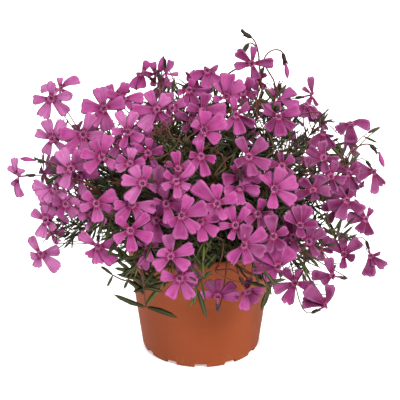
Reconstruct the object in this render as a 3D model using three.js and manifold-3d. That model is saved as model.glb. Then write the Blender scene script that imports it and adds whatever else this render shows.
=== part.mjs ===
// Moss phlox in full bloom in a round moulded plant pot. Millimetres, +Z up, origin on the floor under the
// pot's axis; the side the plant shows best faces -Y. The pot and the soil are one node each, and every leafy
// stem is one node with its needle leaves, flower stalks, calyces, buds and blooms grown together.
import * as THREE from "three";
import { mergeVertices } from "three/addons/utils/BufferGeometryUtils.js";
import Module from "manifold-3d";

const wasm = await Module();
wasm.setup();

// ---------------------------------------------------------------- driving dimensions
const POT = { height: 92, footR: 42.7, baseR: 43.9, rimR: 57, neckR: 55.4, innerR: 54, wall: 1.5 };
const FLOOR = { under: 3.2, top: 5 };
const NOTCH = { count: 12, width: 9, height: 3.2 };
const SOIL = { top: 84, crown: 1.5, gap: 0.4, holeR: 2.3, holeDepth: 14 };
const DOME = { centre: [0, 0, 128], radii: [121, 105, 74] }; // the plant's rounded outline
const CORE = [0, 0, 98]; // the stems fan out round this point
const STEMS = { count: 38, discR: 43, lowest: -0.36, radius: 1.25, tipRadius: 0.9, sides: 3, steps: 4 };
const BLOOM = { thick: 0.8, sink: 0.3, tube: 12, tubeR: 0.75, calyxR: 1.3, stalkR: 0.6 };
const LEAF = { width: 2.1, thick: 1.0, length: 17, shoulder: 0.2, nodes: 2, spread: 0.95 };
const SHARP = 0.15; // the cosine under which a stalk's turn is rounded
const TWIG_STEMS = 5; // how many of the nearest stems a twig may leave from
const JOIN_TOLERANCES = [0.15, 0.13, 0.11, 0.08, 0.05];
const ROUND = 24; // sides of the pot and the soil
const SEED = 20117;

// The chart's view: from in front and above, in units of the chart's own grid, y downwards.
const VIEW = { elevation: 23.7, distance: 1200, focal: 1637, centre: [200.8, 200], target: [0, 0, 116] };

// Blooms seen from the front. Each row: x and y of the eye and the petal length in chart units; how far it
// turns right and up from facing the viewer, the first petal's angle, and how far the petals lean forward,
// in degrees; and its depth, 1 on the dome's surface and less inside it. Rows in front come first.
const CHART = [
  [249, 156.5, 21, -5, 0, 50, 0, 1.03],
  [274, 189, 22, 15, 0, 30, 5, 1.03],
  [130.2, 230.6, 19, 0, 0, 61, 0, 1.03],
  [170.5, 256, 20, -3, 0, 22, 0, 1.05],
  [179.7, 278.4, 20, 0, -10, 18, 0, 1.06],
  [278, 267, 23, -15, 35, 30, 35, 1.04],
  [244, 245.2, 22, -15, 20, 37, 15, 1.04],
  [235.6, 225.2, 19, 0, 0, 48, 0, 1.02],
  [295, 282.7, 20, -5, -5, 46, 0, 1.02],
  [102, 157, 21, 0, 0, 25, 0, 1.02],
  [104, 108.6, 20, 0, 0, 30, 0, 1.02],
  [83, 134.5, 21, 0, 0, 62, 0, 1.02],
  [52, 139, 18, -20, 0, 20, 0, 1],
  [51, 98.5, 20, -10, -12, 32, 0, 1],
  [60, 89, 20, 5, 62, 18, 20, 0.96],
  [123, 98.5, 18, 0, 25, 5, 0, 1],
  [157, 109.5, 22, -20, 10, 38, 0, 1],
  [128, 132.4, 21, 0, 30, 30, 20, 1],
  [71, 168.8, 17, -10, 0, 35, 0, 1.02],
  [79, 177.5, 19, 0, -10, 70, 0, 0.99],
  [142.8, 183.5, 20, 0, 10, 22, 10, 1.01],
  [153, 186.7, 20, 0, 40, 3, 28, 1],
  [96, 203.5, 21, 15, 5, 28, 0, 1.01],
  [92, 215, 16, 25, -5, 42, 0, 0.97],
  [132, 204.5, 20, 0, 10, 66, 0, 1],
  [166, 203.5, 21, 20, 0, 60, 0, 1],
  [181.5, 215.5, 19, 0, 0, 30, 0, 1.01],
  [217, 204, 19, 0, 5, 18, 0, 1.01],
  [200, 222, 18, 10, -5, 30, 0, 0.99],
  [156, 220.3, 18, 0, -5, 67, 0, 0.99],
  [203.5, 130.4, 19, 25, 10, 60, 0, 1.02],
  [202, 111, 20, 20, 0, 5, 0, 1],
  [236, 114.5, 20, 0, -30, 14, -10, 1.01],
  [278.4, 116.4, 18, 0, -42, 54, 0, 1.01],
  [323.7, 157.5, 19, -30, 0, 40, 0, 1.01],
  [331, 176.5, 19, -25, 10, 30, 10, 0.98],
  [300, 225.8, 20, 0, 40, 10, 32, 1.02],
  [273.5, 236.5, 18, 0, 10, 23, 0, 0.99],
  [293, 237, 17, -20, 0, 40, 0, 0.97],
  [309, 242, 19, 0, 15, 7, 20, 1],
  [343.7, 254.5, 19, 0, 30, 35, 20, 1],
  [333, 276, 21, -55, 10, 20, 28, 1],
  [326, 306, 24, -50, 25, 20, 30, 1],
  [370.5, 255.2, 19, 20, -55, 48, 0, 1],
  [374, 171.5, 21, 30, -40, 60, 0, 1],
  [349, 173, 19, 10, -60, 50, 0, 1],
  [347, 200, 20, -10, -40, 20, -10, 1],
  [366, 219, 18, 60, -20, 20, 0, 0.97],
  [350.3, 122.5, 20, 0, 55, 50, -45, 1],
  [323.3, 132.3, 17, 0, -66, 20, 38, 1],
  [306, 104, 18, 10, 50, 18, -42, 1],
  [311.5, 95, 18, 76, 10, 20, 0, 1],
  [279.7, 100.3, 19, 0, -110, 36, 0, 1],
  [252, 63.5, 20, 0, 5, 5, 0, 1],
  [258, 80, 16, -30, -50, 20, 0, 0.96],
  [226, 97, 21, -10, 35, 13, 22, 1],
  [243, 92, 16, 20, -20, 60, 0, 0.93],
  [207.2, 70.5, 20, 0, -38, 54, -15, 1],
  [189, 90, 18, -10, -20, 35, 0, 1],
  [196, 78, 16, -20, -30, 20, 0, 0.96],
  [166, 74, 17, -10, -120, 30, 0, 1],
  [156, 74, 15, -30, -30, 20, 0, 0.97],
  [142, 73, 16, -68, 30, 10, 0, 1],
  [18.5, 176.5, 20, -78, -5, 20, 8, 1],
  [55, 189, 19, -55, -30, 20, 8, 1],
  [45.5, 219.8, 15, -15, 5, 15, 0, 1],
  [40.5, 254, 20, -25, 0, 30, 0, 1],
  [65.5, 204, 17, -20, -20, 20, 0, 0.98],
  [56, 208, 19, -20, -15, 12, 0, 0.95],
  [51, 233, 15, -20, -30, 0, -10, 0.93],
  [97.6, 245.8, 20, 0, -35, 5, -10, 1],
  [148, 246, 19, -10, -42, 56, -10, 0.99],
  [217.6, 297, 18, 0, 55, 18, 28, 1.03],
  [247.4, 291, 17, 40, -50, 5, 0, 1.04],
  [240, 187, 19, 0, -55, 60, 0, 1],
  [240, 177, 19, 20, 20, 0, 10, 0.98],
  [201, 156, 18, 10, -20, 12, 0, 0.97],
  [178, 169, 17, 0, 35, 18, 20, 0.98],
  [176, 181, 19, 30, -50, 30, 0, 0.97],
  [145, 140, 19, -30, 0, 40, 5, 0.97],
  [150, 125, 16, -10, 20, 50, 0, 0.9],
  [148, 153, 16, 0, -20, 10, 0, 0.9],
  [130, 164, 16, -20, 30, 10, 10, 0.93],
  [120, 143, 16, 0, 10, 20, 0, 0.86],
  [172, 108, 16, 10, 0, 30, 0, 0.88],
  [192, 121, 14, -20, 0, 10, 0, 0.9],
  [114, 95, 14, 0, 20, 40, 0, 0.93],
  [80, 204, 16, 0, 0, 10, 0, 0.88],
  [313, 190, 20, 0, -45, 60, -10, 0.95],
  [336, 209, 16, 0, -20, 20, 0, 0.92],
  [320, 249, 16, 20, -30, 0, 0, 0.95],
  [258, 214, 16, 0, 0, 0, 0, 0.88],
  [282, 166, 15, 0, 10, 30, 0, 0.9],
  [189, 275, 14, 10, -10, 0, 0, 0.98],
];
const BACK = { count: 52, petal: 13.6, inset: 1.01, gap: 22 }; // the blooms round the far side, by rule

// Stalks seen from the front: what they end in, how far they stand behind the outline, the size of their
// leaves, then their way in chart units with the tip last.
const TWIGS = [
  ["bud", 0, 0, [[60, 176], [57, 166], [45, 162], [26, 160]]],
  ["bud", 4, 0, [[264, 60], [272, 50], [282, 51], [288, 78]]],
  ["bud", 0, 0, [[352, 151], [365, 145], [375, 151], [382, 168]]],
  ["calyx", 12, 0, [[261, 78], [258, 47], [253, 37], [242, 31]]],
  ["calyx", 16, 0, [[259, 60], [256, 44], [250, 41], [243, 51]]],
  ["bud", 0, 0, [[160, 84], [159, 72], [163, 59]]],
  ["shoot", 0, 0.7, [[347, 166], [353, 152], [361, 140], [370, 133]]],
  ["shoot", 4, 1.1, [[141, 266], [144, 284], [147, 302]]],
  ["shoot", 0, 0.9, [[128, 280], [113, 275], [101, 267]]],
  ["shoot", -8, 0.9, [[262, 262], [265, 285], [264, 296]]],
  ["shoot", 4, 0.8, [[275, 100], [278, 90], [281, 83]]],
  ["shoot", 15, 1.1, [[152, 236], [148, 252], [139, 264]]],
  ["shoot", 12, 1.1, [[204, 240], [203, 254], [201, 276], [197, 288]]],
  ["shoot", 18, 1.1, [[222, 240], [223, 252], [219, 266]]],
  ["shoot", 21, 0.9, [[180, 240], [174, 256], [166, 276]]],
  ["shoot", 10, 1.0, [[300, 246], [304, 258], [303, 268]]],
  ["shoot", 14, 1.0, [[120, 226], [114, 240], [110, 256]]],
  ["shoot", 14, 1.1, [[250, 250], [253, 262], [256, 276]]],
];

// ---------------------------------------------------------------- small vector tools
const add = (a, b, s = 1) => [a[0] + b[0] * s, a[1] + b[1] * s, a[2] + b[2] * s];
const sub = (a, b) => [a[0] - b[0], a[1] - b[1], a[2] - b[2]];
const mul = (a, s) => [a[0] * s, a[1] * s, a[2] * s];
const dot = (a, b) => a[0] * b[0] + a[1] * b[1] + a[2] * b[2];
const cross = (a, b) => [a[1] * b[2] - a[2] * b[1], a[2] * b[0] - a[0] * b[2], a[0] * b[1] - a[1] * b[0]];
const len = (a) => Math.sqrt(dot(a, a));
const unit = (a) => mul(a, 1 / len(a));
const rad = (deg) => (deg * Math.PI) / 180;
const GOLDEN = rad(137.508);

function seeded(seed) {
  let state = seed >>> 0;
  return () => {
    state = (state + 0x6d2b79f5) >>> 0;
    let t = state;
    t = Math.imul(t ^ (t >>> 15), t | 1);
    t ^= t + Math.imul(t ^ (t >>> 7), t | 61);
    return ((t ^ (t >>> 14)) >>> 0) / 4294967296;
  };
}

// A cubic Bezier's point and direction.
function bezier(c, t) {
  const s = 1 - t;
  const w = [s * s * s, 3 * s * s * t, 3 * s * t * t, t * t * t];
  return w.reduce((p, wi, i) => add(p, c[i], wi), [0, 0, 0]);
}
function line(curve, count) {
  return Array.from({ length: count + 1 }, (_, i) => bezier(curve, i / count));
}
// The place and the direction at t, from 0 to 1, along a line of points.
function along(points, t) {
  const at = t * (points.length - 1);
  const i = Math.min(points.length - 2, Math.floor(at));
  const step = sub(points[i + 1], points[i]);
  return { at: add(points[i], step, at - i), way: unit(step) };
}
// The line of points with every stretch cut in n.
function finer(points, n) {
  const all = [points[0]];
  for (let i = 1; i < points.length; i++) {
    for (let k = 1; k <= n; k++) all.push(add(points[i - 1], sub(points[i], points[i - 1]), k / n));
  }
  return all;
}
// Any unit vector across d.
function across(d) {
  return unit(cross(Math.abs(d[2]) < 0.9 ? [0, 0, 1] : [1, 0, 0], d));
}
function pointToSegment(p, a, b) {
  const ab = sub(b, a);
  const t = Math.max(0, Math.min(1, dot(sub(p, a), ab) / (dot(ab, ab) + 1e-9)));
  return len(sub(p, add(a, ab, t)));
}

// ---------------------------------------------------------------- the chart's view and the dome
const SIN_E = Math.sin(rad(VIEW.elevation));
const COS_E = Math.cos(rad(VIEW.elevation));
const UP = [0, SIN_E, COS_E];
const TOWARDS = [0, -COS_E, SIN_E]; // towards the viewer
const EYE = add(VIEW.target, TOWARDS, VIEW.distance);

function chartRay(x, y) {
  const away = mul(TOWARDS, -VIEW.focal);
  return add(add(away, [1, 0, 0], x - VIEW.centre[0]), UP, VIEW.centre[1] - y);
}
// Where a chart place meets the dome at this depth, or passes nearest to it.
function onDome(x, y, depth) {
  const ray = chartRay(x, y);
  const from = sub(EYE, DOME.centre);
  const r = DOME.radii;
  const p = from.map((v, i) => v / r[i]);
  const q = ray.map((v, i) => v / r[i]);
  const a = dot(q, q);
  const b = dot(p, q);
  const c = dot(p, p) - depth * depth;
  const t = (-b - Math.sqrt(Math.max(0, b * b - a * c))) / a;
  return { at: add(EYE, ray, t), ray, t };
}

// ---------------------------------------------------------------- blooms
function makeBloom(at, normal, right, size, roll, lean, random) {
  const petals = [];
  for (let p = 0; p < 5; p++) {
    petals.push({
      angle: rad(roll + 72 * p) + (random() - 0.5) * 0.16,
      lean: rad(lean + (random() - 0.5) * 26),
      length: size * (0.94 + random() * 0.12),
    });
  }
  return { at, n: normal, x: right, y: cross(normal, right), size, petals };
}
function chartBloom(row, random) {
  const [x, y, size, turn, lift, roll, lean, depth] = row;
  const { at, ray, t } = onDome(x, y, depth);
  const [a, b] = [rad(turn), rad(lift)];
  const sideways = [Math.cos(a), 0, 0];
  const right = add(sideways, TOWARDS, -Math.sin(a));
  const front = add([Math.sin(a), 0, 0], TOWARDS, Math.cos(a));
  const normal = add(mul(front, Math.cos(b)), UP, Math.sin(b));
  const bloom = makeBloom(at, normal, right, size * t, roll, lean, random);
  return { bloom, away: unit(ray) };
}
// A point on petal p, out along it by u of its length and sideways by the angle s.
function onPetal(bloom, p, u, s = 0) {
  const petal = bloom.petals[p];
  const reach = petal.length * u;
  const flat = reach * Math.cos(petal.lean);
  const a = petal.angle + s;
  const place = add(add(bloom.at, bloom.x, flat * Math.cos(a)), bloom.y, flat * Math.sin(a));
  return add(place, bloom.n, reach * Math.sin(petal.lean));
}
// How far a point lies above the bloom's petals, or null where no petal is under or over it.
function overPetals(bloom, point, margin) {
  const d = sub(point, bloom.at);
  const [u, v, h] = [dot(d, bloom.x), dot(d, bloom.y), dot(d, bloom.n)];
  const r = Math.sqrt(u * u + v * v);
  if (r < 2.5) return Math.abs(h) < 30 ? h : null;
  const around = Math.atan2(v, u);
  for (const petal of bloom.petals) {
    let off = around - petal.angle;
    off = Math.abs(off - 2 * Math.PI * Math.round(off / (2 * Math.PI)));
    const reach = petal.length * Math.cos(petal.lean) + margin;
    if (off < 0.52 + margin / r && r < reach) {
      return (h - r * Math.tan(petal.lean)) * Math.cos(petal.lean);
    }
  }
  return null;
}
// True if the line of points comes nearer than gap to the bloom's petals, or goes through them.
function meetsPetals(bloom, points, gap) {
  if (len(sub(points[0], bloom.at)) > 60 + bloom.size) return false;
  let last = null;
  for (const point of points) {
    const h = overPetals(bloom, point, gap * 0.6);
    if (h !== null && Math.abs(h) < gap) return true;
    if (h !== null && last !== null && h * last < 0) return true;
    last = h;
  }
  return false;
}
function petalLines(bloom) {
  const lines = [];
  for (let p = 0; p < 5; p++) {
    for (const s of [-0.33, 0, 0.33]) {
      lines.push([0.3, 0.5, 0.7, 0.85, 1].map((u) => onPetal(bloom, p, u, s * (0.5 + u / 2))));
    }
  }
  lines.push([-1, -5, -9, -13].map((d) => add(bloom.at, bloom.n, d)));
  return lines;
}
function bloomsMeet(a, b) {
  if (len(sub(a.at, b.at)) > a.size + b.size + 14) return false;
  return (
    petalLines(a).some((line) => meetsPetals(b, line, 1.5)) ||
    petalLines(b).some((line) => meetsPetals(a, line, 1.5))
  );
}
function potClear(point, margin) {
  const r = Math.sqrt(point[0] * point[0] + point[1] * point[1]);
  if (point[2] > POT.height + margin) return true;
  const outer = POT.baseR + ((POT.rimR - POT.baseR) * Math.max(0, point[2])) / POT.height;
  if (r > outer + margin) return true;
  const inner = POT.innerR - 1.6 - margin;
  return r < inner && point[2] > SOIL.top + SOIL.crown + margin;
}

function placeBlooms(random) {
  const blooms = [];
  const fits = (bloom) =>
    petalLines(bloom).every((line) => line.every((p) => potClear(p, 1.5))) &&
    !blooms.some((other) => bloomsMeet(bloom, other));
  for (const row of CHART) {
    const { bloom, away } = chartBloom(row, random);
    const start = bloom.at;
    // A bloom that would cross one already placed goes deeper, or failing that nearer, along its sight line.
    const tries = [0];
    for (let k = 1; k <= 20; k++) tries.push(k * 1.5, k * -0.75);
    const step = tries.find((d) => {
      bloom.at = add(start, away, d);
      return fits(bloom);
    });
    if (step === undefined) bloom.at = add(start, away, 30);
    bloom.charted = true;
    blooms.push(bloom);
  }
  for (let k = 0; k < BACK.count * 4 && blooms.length < CHART.length + BACK.count; k++) {
    const z = 1 - ((k + 0.5) / (BACK.count * 4)) * 1.42;
    const ring = Math.sqrt(1 - z * z);
    const turn = k * GOLDEN;
    const direction = [ring * Math.cos(turn), ring * Math.sin(turn), z];
    const draws = [random(), random(), random(), random(), random()];
    const facing = unit(direction.map((v, i) => v / DOME.radii[i]));
    if (dot(facing, TOWARDS) > (z > 0.55 ? -0.1 : 0.06)) continue;
    const normal = unit(add(add(facing, [0, 0, 1], 0.15), [draws[0] - 0.5, draws[1] - 0.5, draws[2] - 0.5], 0.9));
    const scale = BACK.inset + (draws[3] - 0.5) * 0.12;
    const at = DOME.centre.map((c, i) => c + direction[i] * DOME.radii[i] * scale);
    const roll = draws[4] * 72;
    const bloom = makeBloom(at, normal, across(normal), BACK.petal, roll, (draws[3] - 0.4) * 40, random);
    const close = blooms.some((other) => len(sub(other.at, at)) < BACK.gap);
    if (!close && fits(bloom)) blooms.push(bloom);
  }
  return blooms;
}

// ---------------------------------------------------------------- stems and stalks
function placeSprays(blooms, random) {
  const sprays = [];
  for (let k = 0; k < STEMS.count; k++) {
    const z = 1 - ((k + 0.5) / STEMS.count) * (1 - STEMS.lowest);
    const ring = Math.sqrt(1 - z * z);
    const turn = k * GOLDEN + 0.6;
    const r = STEMS.discR * Math.sqrt((k + 0.5) / STEMS.count);
    sprays.push({
      direction: [ring * Math.cos(turn), ring * Math.sin(turn), z],
      hole: [r * Math.cos(turn), r * Math.sin(turn)],
      blooms: [],
      twigs: [],
      leaves: [],
    });
  }
  for (const bloom of blooms) {
    // The stalk's foot lies behind the bloom, so that is what says which stem it grew from.
    const behind = unit(sub(add(bloom.at, bloom.n, -12), CORE));
    const scores = sprays.map((s) => dot(s.direction, behind) - 0.012 * s.blooms.length);
    sprays[scores.indexOf(Math.max(...scores))].blooms.push(bloom);
  }
  for (const spray of sprays) {
    let hub = DOME.centre.map((c, i) => c + spray.direction[i] * DOME.radii[i] * 0.72);
    if (spray.blooms.length) {
      const feet = spray.blooms.map((b) => add(b.at, b.n, -10));
      const mean = mul(feet.reduce((s, f) => add(s, f), [0, 0, 0]), 1 / feet.length);
      const out = sub(mean, CORE);
      hub = add(CORE, out, Math.max(0.45, 1 - 20 / len(out)));
    }
    const collar = [spray.hole[0], spray.hole[1], SOIL.top + 3];
    const outward = unit(sub(hub, CORE));
    const low = Math.max(0, 118 - hub[2]);
    const bend = add(add(hub, outward, -26), [0, 0, 1], 6 + low * 0.9);
    spray.curve = [collar, add(collar, [0, 0, 1], 22), bend, hub];
  }
  return sprays;
}
// How badly a line of points, with its radius, crosses what is there: the pot, the other stems' blooms and
// stalks, and past its own first points also those of its own stem.
function clashes(points, radius, spray, sprays, blooms, rooted = 0) {
  let count = 0;
  for (const point of points) {
    if (!potClear(point, radius + 0.8) && point[2] > SOIL.top + 3) count += 2;
  }
  const free = points.slice(rooted);
  for (const bloom of blooms) {
    const own = bloom.spray === spray;
    if (meetsPetals(bloom, own ? free : points, radius + (own ? 0.6 : 1.1))) count += own ? 0.6 : 3;
  }
  for (const other of sprays) {
    const own = other === spray;
    if (own && !rooted) continue;
    for (const stalk of other.stalks) {
      if (nearLines(own ? free : points, stalk.points, radius + stalk.radius + 0.5)) count += own ? 0.5 : 1;
    }
  }
  return count;
}
function nearLines(a, b, gap) {
  for (const p of a) {
    if (len(sub(p, b[0])) > 160) continue;
    for (let i = 1; i < b.length; i++) {
      if (pointToSegment(p, b[i - 1], b[i]) < gap) return true;
    }
  }
  return false;
}

function routeStalks(sprays, blooms) {
  for (const spray of sprays) {
    spray.stalks = [];
    for (const bloom of spray.blooms) bloom.spray = spray;
  }
  // Each stem is bent a little to the side that is clear.
  for (const spray of sprays) {
    const [collar, rise, bend, hub] = spray.curve;
    const side = across(unit(sub(hub, collar)));
    const other = unit(cross(side, sub(hub, collar)));
    const stems = Array.from({ length: 25 }, (_, k) => {
      const swing = k === 0 ? 0 : 9 * Math.ceil(k / 8);
      const off = add(mul(side, swing * Math.cos(k * 0.7854)), other, swing * Math.sin(k * 0.7854));
      return line([collar, rise, add(bend, off), hub], STEMS.steps);
    });
    const way = best(stems, (c) => clashes(finer(c, 9), STEMS.radius, spray, sprays, blooms));
    spray.stem = [[collar[0], collar[1], SOIL.top - SOIL.holeDepth + 0.8], ...way];
    spray.stalks.push({ points: spray.stem, radius: STEMS.radius });
  }
  // A flower stalk leaves the stem near its tip and bends into the tube behind the bloom.
  for (const spray of sprays) {
    spray.blooms.forEach((bloom, i) => {
      const base = add(bloom.at, bloom.n, -BLOOM.sink);
      const side = across(bloom.n);
      const other = cross(bloom.n, side);
      const options = [];
      for (const t of [0.99, 0.95, 0.91, 0.87, 0.83, 0.79]) {
        for (let k = 0; k < 13; k++) {
          const a = k * 1.047 + i;
          const swing = k === 0 ? 0 : k < 7 ? 4 : 8;
          const off = add(mul(side, swing * Math.cos(a)), other, swing * Math.sin(a));
          const foot = add(add(base, bloom.n, -BLOOM.tube), off);
          options.push([along(spray.stem, t).at, foot, base]);
        }
      }
      const others = blooms.filter((b) => b !== bloom);
      const cost = (c) => clashes(finer(c, 10), 0.9, spray, sprays, others, 5) + sharpness(c);
      bloom.stalk = best(options, cost);
      spray.stalks.push({ points: bloom.stalk, radius: 1 });
    });
  }
}
// The cosine of a stalk's turn at its middle point, and what a sharp one costs beside the crossings.
function turnOf([from, foot, base]) {
  return dot(unit(sub(foot, from)), unit(sub(base, foot)));
}
function sharpness(way) {
  return turnOf(way) < SHARP ? 0.4 + SHARP - turnOf(way) : 0;
}
function best(options, cost) {
  let found = options[0];
  let least = Infinity;
  for (const option of options) {
    const c = cost(option);
    if (c < least) [found, least] = [option, c];
    if (c === 0) break;
  }
  return found;
}

// Buds, bare calyces and leafy shoots that stand out of the outline, each from the nearest stem.
function placeTwigs(sprays, blooms) {
  for (const [kind, behind, leaf, chart] of TWIGS) {
    const points = chart.map(([x, y]) => onDome(x, y, kind === "shoot" ? 1.04 : 1.0).at);
    const depth = dot(points[0], TOWARDS);
    const flat = points.map((p) => add(p, TOWARDS, (depth - dot(p, TOWARDS)) * 0.8 - behind));
    const options = [];
    const away = (spray) => len(sub(along(spray.stem, 0.9).at, flat[0]));
    const nearest = sprays.toSorted((a, b) => away(a) - away(b)).slice(0, TWIG_STEMS);
    for (const spray of nearest) {
      for (const t of [0.98, 0.9, 0.82, 0.74]) {
        const from = along(spray.stem, t);
        const gap = len(sub(from.at, flat[0]));
        const side = across(from.way);
        const other = cross(from.way, side);
        for (let k = 0; k < 9; k++) {
          const swing = k === 0 ? 0 : 10;
          const off = add(mul(side, swing * Math.cos(k * 0.7854)), other, swing * Math.sin(k * 0.7854));
          const leave = add(add(add(from.at, from.way, gap * 0.25), sub(flat[0], from.at), 0.3), off);
          const path = new THREE.CatmullRomCurve3([from.at, leave, ...flat].map((p) => new THREE.Vector3(...p)));
          const points = path.getPoints(7).map((v) => [v.x, v.y, v.z]);
          const cost = clashes(finer(points, 6), 1.3, spray, sprays, blooms, 5) + gap / 60 + swing / 100;
          options.push({ spray, points, cost });
        }
      }
    }
    options.sort((a, b) => a.cost - b.cost);
    const { spray, points: way } = options[0];
    spray.twigs.push({ kind, leaf, points: way });
    spray.stalks.push({ points: way, radius: 1.4 });
  }
}

// ---------------------------------------------------------------- needle leaves, in opposite pairs
function placeLeaves(sprays, blooms, random) {
  for (const spray of sprays) {
    const feet = [];
    for (let i = 0; i < LEAF.nodes; i++) {
      feet.push([spray.stem, 0.985 - i * 0.2, i * 1.571, i === 0 ? 0.85 : 1, 2]);
    }
    spray.blooms.forEach((bloom, i) => {
      if (i % 3 === 0) feet.push([bloom.stalk, 0.3, random() * 6, 0.9, 1]);
    });
    for (const twig of spray.twigs) {
      if (!twig.leaf) continue;
      for (const t of [0.6, 0.8, 0.98]) feet.push([twig.points, t, t * 9, twig.leaf, 2]);
    }
    for (const [points, t, turn, scale, leaves] of feet) {
      const { at, way: up } = along(points, t);
      const jitter = random() * 0.6;
      const size = LEAF.length * scale * (0.8 + random() * 0.45);
      const side = across(up);
      const other = cross(up, side);
      for (const s of [0, Math.PI].slice(0, leaves)) {
        for (let k = 0; k < 6; k++) {
          const a = turn + jitter + s + [0, 0.5, -0.5, 1, 0, 0.5][k];
          const reach = size * (k > 3 ? 0.65 : 1);
          const out = add(mul(side, Math.cos(a)), other, Math.sin(a));
          const way = add(mul(up, Math.cos(LEAF.spread)), out, Math.sin(LEAF.spread));
          const needle = [0.05, 0.2, 0.35, 0.5, 0.7, 0.85, 1].map((u) => add(at, way, u * reach));
          if (clashes(needle, 0.7, spray, sprays, blooms, 2) > 0) continue;
          spray.leaves.push({ at, way, wide: unit(cross(up, out)), reach });
          spray.stalks.push({ points: [needle[1], needle[6]], radius: 0.8 });
          break;
        }
      }
    }
  }
}

// ---------------------------------------------------------------- geometry
function solid(geometry) {
  const bare = new THREE.BufferGeometry();
  bare.setAttribute("position", geometry.getAttribute("position"));
  if (geometry.index) bare.setIndex(geometry.index);
  const g = mergeVertices(bare, 1e-4);
  const made = new wasm.Manifold(
    new wasm.Mesh({
      numProp: 3,
      vertProperties: g.attributes.position.array,
      triVerts: new Uint32Array(g.index.array),
    }),
  );
  return made;
}
function toGeometry(manifold) {
  const mesh = manifold.getMesh();
  const g = new THREE.BufferGeometry();
  g.setAttribute("position", new THREE.Float32BufferAttribute(mesh.vertProperties, 3));
  g.setIndex(new THREE.Uint32BufferAttribute(mesh.triVerts, 1));
  g.computeVertexNormals();
  return g;
}
function mapVertices(geometry, place) {
  const p = geometry.getAttribute("position");
  for (let i = 0; i < p.count; i++) p.setXYZ(i, ...place(p.getX(i), p.getY(i), p.getZ(i)));
  return geometry;
}
// A stalk with few sides along a line of points, with a radius at each.
function stalk(points, radii, sides = 3) {
  const outline = new THREE.Shape();
  for (let i = 0; i < sides; i++) {
    const a = (i / sides) * 2 * Math.PI;
    outline[i ? "lineTo" : "moveTo"](Math.cos(a), Math.sin(a));
  }
  const last = points.length - 1;
  let normal = across(unit(sub(points[1], points[0])));
  const frames = points.map((p, i) => {
    const way = unit(sub(points[Math.min(last, i + 1)], points[Math.max(0, i - 1)]));
    normal = unit(add(normal, way, -dot(normal, way)));
    return [normal, cross(way, normal)];
  });
  const g = new THREE.ExtrudeGeometry(outline, { depth: 1, steps: last, bevelEnabled: false });
  return mapVertices(g, (x, y, z) => {
    const i = Math.round(z * last);
    return add(add(points[i], frames[i][0], x * radii[i]), frames[i][1], y * radii[i]);
  });
}
function flowerStalk({ stalk: [from, foot, base], stalk: way }) {
  if (turnOf(way) > SHARP) return stalk(way, [BLOOM.stalkR, BLOOM.calyxR, BLOOM.tubeR]);
  const round = [from, add(foot, unit(sub(from, foot)), 3), add(foot, unit(sub(base, foot)), 3), base];
  return stalk(round, [BLOOM.stalkR, BLOOM.stalkR, BLOOM.calyxR, BLOOM.tubeR]);
}
// Five petals in one thin plate: an inner corner and two tip corners a petal.
function corolla(bloom) {
  const outline = new THREE.Shape();
  const corners = [];
  for (let p = 0; p < 5; p++) {
    const next = bloom.petals[(p + 1) % 5];
    const petal = bloom.petals[p];
    const gap = p === 4 ? next.angle + 2 * Math.PI : next.angle;
    corners.push([petal.length, petal.angle - 0.36, petal], [petal.length, petal.angle + 0.36, petal]);
    corners.push([bloom.size * 0.17, (petal.angle + gap) / 2, null]);
  }
  corners.forEach(([r, a], i) => outline[i ? "lineTo" : "moveTo"](r * Math.cos(a), r * Math.sin(a)));
  const g = new THREE.ExtrudeGeometry(outline, { depth: BLOOM.thick, steps: 1, bevelEnabled: false });
  return mapVertices(g, (x, y, z) => {
    const [r, a, petal] = corners.find(
      (c) => Math.hypot(c[0] * Math.cos(c[1]) - x, c[0] * Math.sin(c[1]) - y) < 1e-3,
    );
    const lean = petal ? petal.lean : 0;
    const flat = r * Math.cos(lean);
    const lift = r * Math.sin(lean) + z - BLOOM.thick / 2;
    const place = add(add(bloom.at, bloom.x, flat * Math.cos(a)), bloom.y, flat * Math.sin(a));
    return add(place, bloom.n, lift);
  });
}
// A three-sided needle leaf, narrow where it leaves the stem and pointed at the tip.
function needle({ at, way, wide, reach }) {
  const upper = cross(way, wide);
  const shoulder = add(at, way, reach * LEAF.shoulder);
  const g = new THREE.SphereGeometry(1, 3, 2);
  return mapVertices(g, (x, y, z) => {
    if (y > 0.5) return add(at, way, reach);
    if (y < -0.5) return add(at, way, -0.1);
    return add(add(shoulder, wide, z * LEAF.width * 0.55), upper, x * LEAF.thick * 0.6);
  });
}
// A twig's radii along its eight points.
const TWIG_RADII = {
  bud: [0.6, 0.6, 0.6, 0.6, 0.9, 1.3, 1.7, 0.45],
  calyx: [0.6, 0.6, 0.6, 0.6, 0.6, 1.1, 1.3, 0.45],
  shoot: [1, 0.95, 0.9, 0.85, 0.8, 0.75, 0.7, 0.5],
};

function growSpray(spray) {
  const last = spray.stem.length - 1;
  const girth = spray.stem.map((_, i) => STEMS.radius + ((STEMS.tipRadius - STEMS.radius) * i) / last);
  const parts = [solid(stalk(spray.stem, girth, STEMS.sides))];
  for (const bloom of spray.blooms) {
    parts.push(solid(flowerStalk(bloom)), solid(corolla(bloom)));
  }
  for (const twig of spray.twigs) parts.push(solid(stalk(twig.points, TWIG_RADII[twig.kind])));
  for (const leaf of spray.leaves) parts.push(solid(needle(leaf)));
  const joined = parts.reduce((sum, part) => sum.add(part)).asOriginal();
  // Only the outer skin is kept: a hollow that the joining sealed is filled, and a loose scrap dropped.
  // Where a tolerance leaves two corners in one place, the next finer one is tried.
  for (const tolerance of JOIN_TOLERANCES) {
    const bodies = joined.simplify(tolerance).decompose();
    const skin = bodies.reduce((a, b) => (b.volume() > a.volume() ? b : a));
    if (distinctCorners(skin) === skin.numVert()) return skin;
  }
  throw new Error("a spray has two corners in one place at every tolerance");
}
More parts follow.
